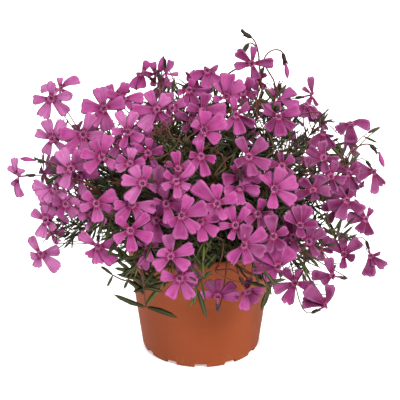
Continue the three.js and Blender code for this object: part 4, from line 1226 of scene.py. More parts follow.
class Shapes:
    """The templates that every spray is stamped from, made once."""

    def __init__(self) -> None:
        """Makes them."""
        self.petal = petal_template(6)
        self.needle = needle_template()
        self.spindle = Template(ball(6))
        self.cup = cup_template(5)
        self.rods: dict[tuple[int, int], Template] = {}

    def rod(self, sides: int, steps: int) -> Template:
        """Returns the rod with these sides and steps."""
        if (sides, steps) not in self.rods:
            self.rods[sides, steps] = rod_template(sides, steps)
        return self.rods[sides, steps]


class Batch:
    """Stamped copies of templates that together become one mesh."""

    CHANNELS = ("along", "across", "tint", "side", "rim")

    def __init__(self) -> None:
        """Starts with nothing stamped."""
        self.parts: dict[str, list[Array]] = {n: [] for n in ("coords", "loops", "totals", "slots", *self.CHANNELS)}
        self.count = 0

    def stamp(self, template: Template, coords: Array, slot: int = 0, **values: Array | float) -> None:
        """Adds copies of a template.

        Args:
            template: the shape.
            coords: its points' places, a row for each copy and point, in millimetres.
            slot: the number of the finish.
            values: each channel's values, that broadcast over copies and points.
        """
        points = len(template.coords)
        coords = coords.reshape(-1, 3)
        copies = len(coords) // points
        spread = {name: np.broadcast_to(values.get(name, 0.0), (copies, points)).ravel() for name in self.CHANNELS}
        spread["coords"] = coords
        spread["loops"] = (template.loops + self.count + np.arange(copies)[:, None] * points).ravel()
        spread["totals"] = np.tile(template.totals, copies)
        spread["slots"] = np.full(len(template.totals) * copies, slot)
        for name, rows in spread.items():
            self.parts[name].append(rows)
        self.count += len(coords)

    def build(self, name: str, *finishes: Material) -> Object:
        """Makes the mesh object.

        Args:
            name: the piece's name.
            finishes: its materials, in the order of the slots.

        Returns:
            The object, at the origin and smooth.
        """
        parts = {name: np.concatenate(rows) for name, rows in self.parts.items()}
        totals = parts["totals"]
        mesh = bpy.data.meshes.new(name)
        mesh.vertices.add(self.count)
        mesh.loops.add(len(parts["loops"]))
        mesh.polygons.add(len(totals))
        mesh.vertices.foreach_set("co", (parts["coords"] * MM).ravel())
        mesh.loops.foreach_set("vertex_index", parts["loops"])
        mesh.polygons.foreach_set("loop_start", np.cumsum(totals) - totals)
        mesh.polygons.foreach_set("material_index", parts["slots"])
        mesh.polygons.foreach_set("use_smooth", np.ones(len(totals), dtype=bool))
        for channel in self.CHANNELS:
            values = parts[channel].astype(float)
            mesh.attributes.new(channel, "FLOAT", "POINT").data.foreach_set("value", values)
        mesh.update(calc_edges=True)
        for finish in finishes:
            mesh.materials.append(finish)
        return shown(name, mesh)


def swept(template: Template, path: Array, radii: Array, flute: float = 0.0) -> Array:
    """Lays a rod template along a path, in a frame that doesn't twist.

    Args:
        template: the rod, whose rings stand at z = 0, 1, and so on.
        path: a point for each ring.
        radii: a radius for each ring.
        flute: how deep its three winding flutes are, as a share of its radius.

    Returns:
        The template's points laid along the path.
    """
    ways = unit(np.gradient(path, axis=0) + 1e-9)
    sides = [across(ways[0])]
    for way in ways[1:]:
        side = sides[-1] - way * float(sides[-1] @ way)
        sides.append(side / max(1e-9, float(np.linalg.norm(side))))
    x, y, z = template.coords.T
    ring, angle = np.rint(z).astype(int), np.arctan2(y, x)
    side, other = np.array(sides)[ring], np.cross(ways, sides)[ring]
    r = radii[ring] * (1 + flute * np.cos(3 * angle + 0.35 * ring))
    return path[ring] + (r * np.cos(angle))[:, None] * side + (r * np.sin(angle))[:, None] * other


# ---- finishes
Colour = tuple[float, ...]
Paint = tuple[NodeSocket, NodeSocket | None]


def tone(red: float, green: float, blue: float) -> Colour:
    """Turns a screen colour from 0 to 255 into the linear colour that shaders use."""
    linear = [(c / 255 / 12.92) if c <= 10 else ((c / 255 + 0.055) / 1.055) ** 2.4 for c in (red, green, blue)]
    return (*linear, 1.0)


class Weave:
    """Short calls that add nodes to one node tree."""

    def __init__(self, tree: NodeTree) -> None:
        """Takes the tree to add to."""
        self.tree = tree

    def add(self, kind: str, inputs: dict[int | str, object] | None = None, **settings: object) -> Node:
        """Adds a node.

        Args:
            kind: the node's type name.
            inputs: what each input takes, a socket to link or a plain value.
            settings: the node's own settings.

        Returns:
            The node.
        """
        node = self.tree.nodes.new(kind)
        for name, value in settings.items():
            setattr(node, name, value)
        for key, value in (inputs or {}).items():
            if isinstance(value, NodeSocket):
                self.tree.links.new(value, node.inputs[key])
            else:
                node.inputs[key].default_value = value
        return node

    def math(self, operation: str, a: object, b: object = 0.0) -> NodeSocket:
        """Adds a maths node and returns its result."""
        return self.add("ShaderNodeMath", {0: a, 1: b}, operation=operation).outputs[0]

    def ramp(self, value: object, low: float, high: float) -> NodeSocket:
        """Returns a smooth step of the value, 0 at low and 1 at high."""
        inputs = {0: value, 1: low, 2: high, 3: 0.0, 4: 1.0}
        return self.add("ShaderNodeMapRange", inputs, interpolation_type="SMOOTHSTEP", clamp=True).outputs[0]

    def fall(self, value: object, low: float, high: float) -> NodeSocket:
        """Returns a smooth step of the value, 1 at low and 0 at high."""
        return self.math("SUBTRACT", 1.0, self.ramp(value, low, high))

    def off(self, value: object, middle: float, width: float) -> NodeSocket:
        """Returns the square of how many widths the value is off the middle."""
        share = self.math("DIVIDE", self.math("SUBTRACT", value, middle), width)
        return self.math("MULTIPLY", share, share)

    def layers(self, colour: object, *over: tuple[object, object, float]) -> NodeSocket:
        """Lays colours over one another.

        Args:
            colour: the lowest colour.
            over: each next one, the share it takes and what part of that share.

        Returns:
            The mixed colour.
        """
        for other, share, part in over:
            inputs = {0: self.math("MULTIPLY", share, part), 6: colour, 7: other}
            colour = self.add("ShaderNodeMix", inputs, data_type="RGBA").outputs[2]
        return colour

    def channels(self, *names: str) -> list[NodeSocket]:
        """Returns the mesh's own channels of these names."""
        kind = "ShaderNodeAttribute"
        return [self.add(kind, attribute_name=name, attribute_type="GEOMETRY").outputs["Fac"] for name in names]

    def place(self) -> NodeSocket:
        """Returns the place on the object."""
        return self.add("ShaderNodeTexCoord").outputs["Object"]

    def noise(self, vector: object, scale: object, detail: float, rough: float = 0.5) -> NodeSocket:
        """Returns soft noise from 0 to 1."""
        inputs = {"Vector": vector, "Scale": scale, "Detail": detail, "Roughness": rough}
        return self.add("ShaderNodeTexNoise", inputs).outputs["Fac"]


class Effects:
    """The node groups that several finishes share."""

    def __init__(self) -> None:
        """Builds them."""
        self.mottle = self.make_mottle()
        self.veins = self.make_veins()

    def start(self, name: str, inputs: dict[str, float], outputs: tuple[str, ...]) -> tuple[Weave, object, object]:
        """Starts a group with a vector input.

        Args:
            name: the group's name.
            inputs: its number inputs and their defaults.
            outputs: its number outputs.

        Returns:
            A weave for the group, the sockets that come in and those that go out.
        """
        group = bpy.data.node_groups.new(name, "ShaderNodeTree")
        add, number = group.interface.new_socket, "NodeSocketFloat"
        add(name="Vector", in_out="INPUT", socket_type="NodeSocketVector")
        for label, default in inputs.items():
            add(name=label, in_out="INPUT", socket_type=number).default_value = default
        for label in outputs:
            add(name=label, in_out="OUTPUT", socket_type=number)
        weave = Weave(group)
        return weave, weave.add("NodeGroupInput").outputs, weave.add("NodeGroupOutput").inputs

    def make_mottle(self) -> NodeTree:
        """Makes a group of broad and fine uneven patches over a surface."""
        weave, source, sink = self.start("Mottle", {"Scale": 60.0, "Fine": 600.0}, ("Broad", "Fine"))
        for label, scale, detail in (("Broad", "Scale", 3.0), ("Fine", "Fine", 2.0)):
            noise = weave.noise(source["Vector"], source[scale], detail)
            weave.tree.links.new(weave.ramp(noise, 0.3, 0.7), sink[label])
        return weave.tree

    def make_veins(self) -> NodeTree:
        """Makes a group of fine lengthwise veins that fan out from a petal's foot."""
        weave, source, sink = self.start("Veins", {"Count": 9.0, "Seed": 0.0}, ("Vein",))
        parts = weave.add("ShaderNodeSeparateXYZ", {0: source["Vector"]}).outputs
        fan, run = weave.math("MULTIPLY", parts["Y"], source["Count"]), weave.math("MULTIPLY", parts["X"], 1.3)
        spot = weave.add("ShaderNodeCombineXYZ", {0: fan, 1: run, 2: source["Seed"]}).outputs[0]
        weave.tree.links.new(weave.ramp(weave.noise(spot, 1.0, 2.0, 0.6), 0.35, 0.68), sink["Vein"])
        return weave.tree


class Coat(Weave):
    """One material's nodes, with its shader and the shared patches."""

    def __init__(self, finish: Finish, effects: Effects) -> None:
        """Makes the material with a plain shader."""
        self.material = bpy.data.materials.new(finish.name)
        self.material.use_nodes = True
        super().__init__(self.material.node_tree)
        self.tree.nodes.clear()
        self.effects = effects
        plain = {"Roughness": finish.roughness, "Specular IOR Level": finish.gloss}
        self.shader = self.add("ShaderNodeBsdfPrincipled", plain)
        self.add("ShaderNodeOutputMaterial", {0: self.shader.outputs[0]})
        broad, fine = finish.patches
        patches = {"Vector": self.place(), "Scale": broad, "Fine": fine}
        self.broad, self.fine = self.add("ShaderNodeGroup", patches, node_tree=effects.mottle).outputs

    def feed(self, name: str, socket: NodeSocket) -> None:
        """Links a socket to the shader."""
        self.tree.links.new(socket, self.shader.inputs[name])

    def veins(self, length: NodeSocket, width: NodeSocket, seed: NodeSocket) -> NodeSocket:
        """Returns the shared veins, fanned by how far across a place is at its distance along."""
        reach = self.math("MAXIMUM", length, 0.6)
        fan = {0: self.math("MULTIPLY", reach, 0.1), 1: self.math("DIVIDE", width, reach)}
        spot = self.add("ShaderNodeCombineXYZ", fan).outputs[0]
        inputs = {"Vector": spot, "Seed": self.math("MULTIPLY", seed, 40.0), "Count": 15.0}
        return self.add("ShaderNodeGroup", inputs, node_tree=self.effects.veins).outputs["Vein"]


@dataclass(frozen=True)
class Finish:
    """What every finish has: how matt it is, its relief in metres, its gloss and its patches' two scales."""

    name: str
    roughness: float = 0.5
    relief: float = 0.3
    depth: float = 0.0003
    gloss: float = 0.2
    patches: tuple[float, float] = (70.0, 700.0)

    def paint(self, coat: Coat) -> Paint:
        """Adds the finish's own nodes and returns its colour and the height of its relief, if it has one."""
        raise NotImplementedError

    def material(self, effects: Effects) -> Material:
        """Builds the material and returns it."""
        coat = Coat(self, effects)
        colour, height = self.paint(coat)
        coat.feed("Base Color", colour)
        if height:
            bump = {"Strength": self.relief, "Distance": self.depth, "Height": height}
            coat.feed("Normal", coat.add("ShaderNodeBump", bump).outputs["Normal"])
        return coat.material


@dataclass(frozen=True)
class PetalFinish(Finish):
    """Soft petal with fanned veins and two dark spots at its foot."""

    patches: tuple[float, float] = (90.0, 900.0)
    body: Colour = tone(154, 50, 117)
    # deep and pale are the petal's own tones, and by the tint they also paint shade and light; pale also paints the
    # highlight along the rim.
    deep: Colour = tone(90, 8, 60)
    pale: Colour = tone(182, 104, 158)
    under: Colour = tone(146, 66, 122)
    ring: Colour = tone(176, 92, 142)
    spot: Colour = tone(112, 4, 58)

    def paint(self, coat: Coat) -> Paint:
        """Adds the petal's colours, from its body to the spots by the eye, and its veins; the tint's deep and pale
        ends carry painted shade and light, and the rim a painted highlight.
        """
        length, width, tint, side, rim = coat.channels("along", "across", "tint", "side", "rim")
        vein = coat.veins(length, width, tint)
        spots = coat.math("ADD", coat.off(length, 3.7, 1.25), coat.off(coat.math("ABSOLUTE", width), 0.7, 0.6))
        upper = coat.math("SUBTRACT", 1.0, side)
        colour = coat.layers(
            self.body,
            # The tint's deep end paints shade on the plant's right side and its pale end light on the left, besides
            # random tone.
            (self.deep, coat.ramp(tint, 0.0, 0.8), 1.0),
            (self.pale, coat.ramp(tint, -0.1, -1.0), 1.0),
            (self.deep, vein, 0.42),
            (self.pale, coat.broad, 0.26),
            # Painted highlight: paler along each petal's edges and towards its tip.
            (self.pale, coat.ramp(coat.math("ABSOLUTE", rim), 0.55, 1.0), 0.42),
            (self.deep, coat.fall(length, 1.5, 10.5), 0.55),
            (self.under, side, 0.6),
            (self.ring, coat.fall(length, 2.1, 2.9), 0.65),
            (self.spot, coat.math("MULTIPLY", coat.fall(spots, 0.35, 1.4), upper), 1.0),
        )
        return colour, vein


@dataclass(frozen=True)
class LeafFinish(Finish):
    """Narrow evergreen leaf, paler along its midrib."""

    dark: Colour = tone(26, 24, 14)
    green: Colour = tone(46, 50, 24)
    bright: Colour = tone(92, 98, 42)
    dry: Colour = tone(70, 44, 28)

    def paint(self, coat: Coat) -> Paint:
        """Adds the leaf's greens, its pale midrib and its dry tip."""
        length, width, tint = coat.channels("along", "across", "tint")
        colour = coat.layers(
            self.dark,
            (self.green, coat.ramp(tint, -1.0, 0.2), 1.0),
            (self.bright, coat.ramp(tint, 0.1, 1.0), 1.0),
            (self.dark, coat.broad, 0.3),
            (self.bright, coat.fall(coat.math("ABSOLUTE", width), 0.1, 0.6), 0.28),
            (self.dry, coat.ramp(length, 0.86, 1.0), 0.45),
        )
        return colour, coat.fine


@dataclass(frozen=True)
class RampFinish(Finish):
    """Three colours by tint: stops says where the second and the third start and are full, patchy is the first's."""

    first: Colour = tone(46, 31, 22)
    second: Colour = tone(74, 60, 34)
    third: Colour = tone(92, 42, 36)
    stops: tuple[float, ...] = (-1.0, 0.0, 0.0, 1.0)
    patchy: float = 0.35

    def paint(self, coat: Coat) -> Paint:
        """Adds the three colours and the patches."""
        (tint,) = coat.channels("tint")
        colour = coat.layers(
            self.first,
            (self.second, coat.ramp(tint, *self.stops[:2]), 1.0),
            (self.third, coat.ramp(tint, *self.stops[2:]), 1.0),
            (self.first, coat.broad, self.patchy),
        )
        return colour, coat.fine


@dataclass(frozen=True)
class CalyxFinish(Finish):
    """Dark ribbed calyx, purplish with green between its ribs."""

    patches: tuple[float, float] = (160.0, 1200.0)
    purple: Colour = tone(44, 20, 27)
    green: Colour = tone(40, 42, 22)

    def paint(self, coat: Coat) -> Paint:
        """Adds the purple and the green."""
        share = coat.math("ADD", coat.math("MULTIPLY", coat.broad, 0.5), coat.ramp(*coat.channels("tint"), -1.0, 1.0))
        return coat.layers(self.purple, (self.green, share, 0.75)), coat.fine


@dataclass(frozen=True)
class PotFinish(Finish):
    """Matt moulded plastic with faint flow marks, handling scuffs near the foot and a little dust."""

    patches: tuple[float, float] = (22.0, 1500.0)
    body: Colour = tone(134, 64, 33)
    shade: Colour = tone(124, 57, 30)
    scuff: Colour = tone(150, 86, 58)

    def paint(self, coat: Coat) -> Paint:
        """Adds the patches, the flow marks and the scuffs, and makes the patches slightly rougher."""
        place = coat.place()
        height = coat.add("ShaderNodeSeparateXYZ", {0: place}).outputs["Z"]
        stretched = coat.add("ShaderNodeMapping", {"Vector": place, "Scale": (1.0, 1.0, 9.0)}).outputs[0]
        worn = coat.ramp(coat.noise(place, 420.0, 3.0, 0.7), 0.5, 0.66)
        colour = coat.layers(
            self.body,
            (self.shade, coat.broad, 0.35),
            (self.scuff, coat.ramp(coat.noise(stretched, 26.0, 4.0, 0.65), 0.5, 0.8), 0.14),
            (self.scuff, coat.math("MULTIPLY", coat.fall(height, 0.001, 0.012), worn), 0.5),
        )
        coat.feed("Roughness", coat.math("ADD", coat.math("MULTIPLY", coat.broad, 0.1), self.roughness))
        return colour, coat.fine


@dataclass(frozen=True)
class SoilFinish(Finish):
    """Dark damp peat with lighter fibres."""

    patches: tuple[float, float] = (240.0, 1100.0)
    peat: Colour = tone(48, 34, 24)
    crumb: Colour = tone(86, 64, 44)

    def paint(self, coat: Coat) -> Paint:
        """Adds the fibres, which stand out."""
        colour = coat.layers(self.peat, (self.crumb, coat.broad, 1.0), (self.peat, coat.fine, 0.5))
        return colour, coat.math("ADD", coat.broad, coat.fine)


@dataclass(frozen=True)
class FloorFinish(Finish):
    """The plain pale floor."""

    patches: tuple[float, float] = (2.0, 30.0)
    pale: Colour = tone(250, 250, 250)
    grey: Colour = tone(240, 240, 240)
    glow: float = 0.42

    def paint(self, coat: Coat) -> Paint:
        """Adds the glow, and a smooth colour."""
        coat.shader.inputs["Emission Color"].default_value = (1, 1, 1, 1)
        coat.shader.inputs["Emission Strength"].default_value = self.glow
        return coat.layers(self.pale, (self.grey, coat.broad, 0.02)), None


class Palette:
    """Every finish, built once."""

    def __init__(self) -> None:
        """Builds them."""
        # The throat colour is painted shade: near-black for the shaded mouth of the tube.
        throat, tube, pollen = tone(44, 8, 24), tone(128, 60, 100), tone(190, 104, 20)
        stops = (-0.6, -0.2, 0.4, 0.6)
        eye = RampFinish("eye_and_tube", 0.6, 0.3, 0.0003, 0.2, (200.0, 1500.0), throat, tube, pollen, stops, 0.25)
        effects = Effects()
        self.petal = PetalFinish("petal", 0.62, 0.5, 0.0005).material(effects)
        self.eye = eye.material(effects)
        self.calyx = CalyxFinish("calyx", 0.55, 0.4).material(effects)
        self.stem = RampFinish("stem", 0.6, 0.4, patches=(120.0, 1400.0)).material(effects)
        self.leaf = LeafFinish("leaf", 0.48).material(effects)
        self.pot = PotFinish("pot_plastic", 0.62, 0.12, 0.0002, 0.1).material(effects)
        self.soil = SoilFinish("soil", 0.9, 0.8, 0.0012).material(effects)
        self.floor = FloorFinish("floor", 0.9).material(effects)


# ---- the plant
@dataclass
class PetalForm:
    """How petals are shaped, as shares of their length, from the foot to the tip."""

    reach: tuple[float, ...] = (0.035, 0.16, 0.34, 0.54, 0.75, 0.92, 1.0)
    half: tuple[float, ...] = (0.085, 0.135, 0.2, 0.275, 0.34, 0.345, 0.285)
    drop: tuple[float, ...] = (0.0, 0.0, 0.0, 0.0, 0.01, 0.04, 0.05)
    notch: float = 0.05
    teeth: float = 0.03
    thick: float = 0.2
    facing: float = 0.58

    def lay(self, blank: Template, bloom: Bloom, rng: np.random.Generator) -> tuple[Array, dict[str, Array]]:
        """Shapes a bloom's five petals from the blank.

        Args:
            blank: the petal blank.
            bloom: the bloom.
            rng: the seeded draws.

        Returns:
            The petals' points, and their channels.
        """

        def draw(least: float, most: float) -> Array:
            """Returns one draw for each petal."""
            return rng.uniform(least, most, (5, 1))

        v, s, low = (blank.coords * (1, 1, -1)).T[:, None]
        rows = np.linspace(0, 1, len(self.reach))
        u, w, d = (np.interp(s, rows, t) for t in (self.reach, self.half, self.drop))
        length = bloom.length[:, None]
        wide = draw(0.8, 1.08) * rng.uniform(0.86, 1.08) * NARROW.get(bloom.number, 1.0)
        tip = np.clip((s - 0.8) / 0.2, 0, 1)
        notch = self.notch * draw(0.2, 1.7) * np.clip(1 - np.abs(v - draw(-0.15, 0.15)) * 2.4, 0, 1)
        jag = self.teeth * draw(0.3, 1.3) * np.sin(v * draw(6, 11) + draw(0, 6.3))
        u = u - d * np.abs(v) ** 2.6 + tip * (jag - notch)
        y = w * wide * v
        curl = draw(-0.08, 0.2) + 0.05 * rng.uniform(-1, 1)
        rise = 0.07 * u - curl * u**3 + draw(-0.02, 0.1) * v * v * np.minimum(1, 2.2 * u)
        rise = rise + draw(0.006, 0.022) * np.sin(2 * math.pi * v * draw(0.7, 1.1) + draw(0, 6.3)) * u
        rise = rise + 0.022 * np.abs(v) ** 3 * np.sin(7 * u + draw(0, 6.3)) - 0.05 * np.exp(-((v / 0.3) ** 2)) * u
        rise = rise * length - self.thick * low
        out = np.cos(bloom.angle)[:, None] * bloom.right + np.sin(bloom.angle)[:, None] * bloom.over
        side = np.cross(bloom.normal, out)
        c, t = np.cos(bloom.lean)[:, None], np.sin(bloom.lean)[:, None]
        way, up = out * c + bloom.normal * t, bloom.normal * c - out * t
        twist = rng.uniform(-0.14, 0.2) + draw(-0.3, 0.3) + draw(-0.35, 0.35) * u
        if bloom.charted:
            turned = np.arctan2(-(side @ VIEW.towards), up @ VIEW.towards)
            turned = turned - math.pi * np.round(turned / math.pi)
            twist = twist + np.clip(turned * self.facing, -0.9, 0.9)[:, None] * np.minimum(1, u * 2.5)
        parts = ((u * length, way), (y * length * np.cos(twist), side), (rise + y * length * np.sin(twist), up))
        points = bloom.at + sum(far[..., None] * axis[:, None] for far, axis in parts)
        # How near a point is to the petal's edge or tip, where the finish paints a highlight.
        edge = np.maximum(np.abs(v), 2.2 * u - 1.2)
        return points, {"along": u * length, "across": y * length, "side": low + 0 * u, "rim": edge}


@dataclass
class SprayDresser:
    """Dresses one numbered spray with its blooms, stems and leaves."""

    index: int
    spray: Spray
    shapes: Shapes
    palette: Palette
    form: PetalForm = field(default_factory=PetalForm)
    calyx_length: float = 7.4
    calyx_r: float = 1.35

    def __post_init__(self) -> None:
        """Seeds the spray's own draws."""
        self.rng = np.random.default_rng(DETAIL_SEED + self.index)

    @property
    def node(self) -> str:
        """The name of the node that the spray's pieces stand for."""
        return f"spray_{self.index:02d}"

    def dress(self, foliage: Foliage) -> list[Object]:
        """Builds the spray's pieces and returns them."""
        stems, leaves, blooms = Batch(), Batch(), Batch()
        self.stems(stems, foliage.shoots[self.index])
        foliage.blades[self.index].stamp(leaves, self.shapes.needle)
        self.blooms(blooms)
        pieces = [stems.build(f"{self.node}_stems", self.palette.stem, self.palette.calyx)]
        pieces.append(leaves.build(f"{self.node}_leaves", self.palette.leaf))
        if blooms.count:
            pieces.append(blooms.build(f"{self.node}_blooms", self.palette.petal, self.palette.eye))
        return pieces

    def blooms(self, batch: Batch) -> None:
        """Adds the petals, eyes and tubes, and the closed buds."""
        for bloom in self.spray.blooms:
            points, channels = self.form.lay(self.shapes.petal, bloom, self.rng)
            # Besides random tone, the tint paints light and shade: 0.0072 per millimetre of x deepens the blooms
            # towards the plant's shaded right side and pales them towards its lit left side.
            tint = self.rng.uniform(-0.35, 0.35) + 0.0072 * bloom.at[0] + 0.06 + TINTS_AND_PAINTED_SHADE.get(bloom.number, 0.0)
            tint = tint + self.rng.uniform(-0.34, 0.34, (5, 1))
            batch.stamp(self.shapes.petal, points, 0, tint=tint, **channels)
            self.eye(batch, bloom)
        for twig in self.spray.twigs:
            if twig.row.end is TwigEnd.BUD:
                self.bud(batch, twig.smooth)

    def eye(self, batch: Batch, bloom: Bloom) -> None:
        """Adds a bloom's throat, a dark disc that paints the shade in the tube's mouth, its anthers and the tube behind
        it.
        """
        axes = np.array([bloom.right, bloom.over, bloom.normal])
        spindle, rod = self.shapes.spindle, self.shapes.rod(6, 3)

        def bead(place: Array, size: Array, slot: int, **values: float) -> None:
            """Adds a spindle of this size at a place before the eye."""
            batch.stamp(spindle, bloom.at + (place + spindle.coords * size) @ axes, slot, **values)

        bead(vec(0, 0, -0.12), vec(2.7, 2.7, 0.22), 0, tint=0.2, along=2.4)
        # A dark disc in the eye's finish paints the shade inside the tube's mouth.
        bead(vec(0, 0, 0.1), vec(1.3, 1.3, 0.3), 1, tint=-1.0)
        turn = self.rng.uniform(0, 6.3)
        for k in range(2):
            a = turn + k * 2.6 + self.rng.uniform(-0.2, 0.2)
            place = vec(0.3 * math.cos(a), 0.3 * math.sin(a), 0.3 + 0.1 * k)
            bead(place, vec(0.22, 0.22, 0.36) * self.rng.uniform(0.85, 1.15), 1, tint=1.0)
        path = bloom.at - bloom.normal * vec(0.15, 1.4, 7.0, 12.2)[:, None]
        batch.stamp(rod, swept(rod, path, vec(1.0, 0.8, 0.72, 0.68)), 1, tint=0.0)

    def bud(self, batch: Batch, line: Array) -> None:
        """Adds a furled bud at the end of a twig's line."""
        radii = vec(0.75, 0.95, 1.25, 1.6, 1.85, 1.85, 1.55, 1.0, 0.2)
        rod, foot = self.shapes.rod(6, len(radii) - 1), reached(line, BUD.flower)
        path = foot + (line[-1] - foot) * np.linspace(-0.1, 1, len(radii))[:, None]
        tint, width = self.rng.uniform(-0.3, 0.1), rod.coords[:, 0] * 3
        batch.stamp(rod, swept(rod, path, radii, 0.12), 0, tint=tint, along=12.0, across=width)

    def rod(self, batch: Batch, sides: int, path: Array, thick: float, thin: float, tint: Array | float) -> None:
        """Adds a tapering rod.

        Args:
            batch: the batch to add to.
            sides: how many sides it has.
            path: a point for each of its rings.
            thick: its radius at the foot.
            thin: its radius at the end.
            tint: its colour, from -1, woody, to 1, red.
        """
        rod = self.shapes.rod(sides, len(path) - 1)
        batch.stamp(rod, swept(rod, path, np.linspace(thick, thin, len(path))), 0, tint=tint)

    def stems(self, batch: Batch, shoots: list[Shoot]) -> None:
        """Adds the stem, the side shoots, the flower stalks, the twigs and the calyces."""
        spray = self.spray
        path = np.vstack([spray.stem[:1], bezier(spray.control, 16)])
        tint = np.interp(self.shapes.rod(6, 17).coords[:, 2], (0, 6, 14, 17), (-1, -0.7, 0.1, 0.3))
        self.rod(batch, 6, path, STEMS.radius, STEMS.tip_radius, tint)
        for shoot in shoots:
            self.rod(batch, 4, shoot.path, shoot.radius, 0.34, shoot.tint)
        for bloom in spray.blooms:
            foot = bloom.at - bloom.normal * (BLOOM.sink + BLOOM.tube)
            leave, way = bloom.stalk[0], unit(spray.stem[-1] - spray.stem[-2])
            pull = 0.22 * float(np.linalg.norm(foot - leave))
            stalk = bezier([leave, leave + way * pull, foot - bloom.normal * pull * 1.3, foot], 8)
            self.rod(batch, 5, stalk, 0.5, BLOOM.stalk_r, 0.9)
            self.calyx(batch, foot - bloom.normal * 0.3, bloom.normal)
        for twig in spray.twigs:
            self.twig(batch, twig.row.end, twig.smooth)

    def calyx(self, batch: Batch, foot: Array, way: Array, scale: float = 1.0, splay: float = 1.0) -> None:
        """Adds a calyx.

        Args:
            batch: the batch to add to.
            foot: where it starts.
            way: the direction it opens in.
            scale: its size against the usual one.
            splay: how far its lobes spread, 1 for the usual.
        """
        cup, side = self.shapes.cup, across(way)
        lobes = 1 + (splay - 1) * np.clip(cup.coords[:, 2:] - 0.6, 0, 1) * 2.5
        r, length = self.calyx_r * scale, self.calyx_length * scale * self.rng.uniform(0.92, 1.08)
        sized = cup.coords * np.hstack([lobes * r, lobes * r, lobes * 0 + length])
        batch.stamp(cup, foot + sized @ np.array([side, np.cross(way, side), way]), 1, tint=self.rng.uniform(-0.8, 0.6))

    def twig(self, batch: Batch, end: TwigEnd, line: Array) -> None:
        """Adds a charted twig's stalk along its line, and the calyx at its tip."""
        spans = np.linspace(0, 1, 17)
        if end is TwigEnd.SHOOT:
            self.rod(batch, 5, np.array([along(line, t)[0] for t in spans]), 0.75, 0.4, 0.45)
            return
        closed = end is TwigEnd.BUD
        foot = reached(line, BUD.calyx + (BUD.flower if closed else 0))
        stalk = np.vstack([line[: int(np.linalg.norm(line - foot, axis=1).argmin())], foot])
        self.rod(batch, 5, np.array([along(stalk, t)[0] for t in spans]), 0.75, 0.6, 0.95)
        tip, scale, splay = (reached(line, BUD.flower), 1.2, 1.5) if closed else (line[-1], 1.4, 1.6)
        self.calyx(batch, foot, unit(tip - foot), scale, splay)


@dataclass
class Shoot:
    """A side shoot: its path, radius at the foot, tint, how light and how long its leaves are and how far apart."""

    path: Array
    radius: float = 0.6
    tint: float = 0.0
    light: float = 0.0
    nodes: float = 4.2
    leaf: float = 12.5


class Blades:
    """Needle leaves as rows of numbers: foot, direction, sideways axis, bow, length, width and tint."""

    def __init__(self) -> None:
        """Starts with none."""
        self.rows: list[Array] = []

    def add(self, at: Array, way: Array, wide: Array, reach: float, width: float, bow: Array, tint: float) -> None:
        """Adds one leaf.

        Args:
            at: its foot.
            way: the direction it starts in.
            wide: its sideways axis.
            reach: its length.
            width: its width.
            bow: how far its tip is off that direction, and where to.
            tint: how bright its green is, from -1 to 1.
        """
        self.rows.append(np.concatenate([at, way, wide, bow, (reach, width, tint)]))

    def columns(self) -> list[Array]:
        """Returns the feet, directions, sideways axes, bows and sizes, each with a row for each leaf."""
        return np.hsplit(np.array(self.rows).reshape(-1, 15), (3, 6, 9, 12))

    def points(self, shares: Array) -> Array:
        """Returns points along every leaf's middle, a row of points for each leaf."""
        at, way, _, bow, sizes = self.columns()
        s = shares[None, :, None]
        return at[:, None] + (way * sizes[:, :1])[:, None] * s + bow[:, None] * s * s

    def stamp(self, batch: Batch, needle: Template) -> None:
        """Adds every leaf to a batch."""
        rows = (0.0, 0.146, 0.5, 0.854, 1.0)
        s = np.interp(needle.coords[:, 2], rows, (-0.01, 0.13, 0.45, 0.8, 1.0))
        half = np.interp(needle.coords[:, 2], rows, (0.0, 0.66, 1.0, 0.76, 0.0))
        x, y = needle.coords[:, 0] * half, needle.coords[:, 1] * half
        _, way, wide, _, sizes = self.columns()
        w, up = sizes[:, 1, None, None] / 2, np.cross(way, wide)
        coords = self.points(s) + wide[:, None] * (x[:, None] * w) + up[:, None] * (y[:, None] * w * 0.4)
        batch.stamp(needle, coords, 0, along=s, across=x, tint=sizes[:, 2:])


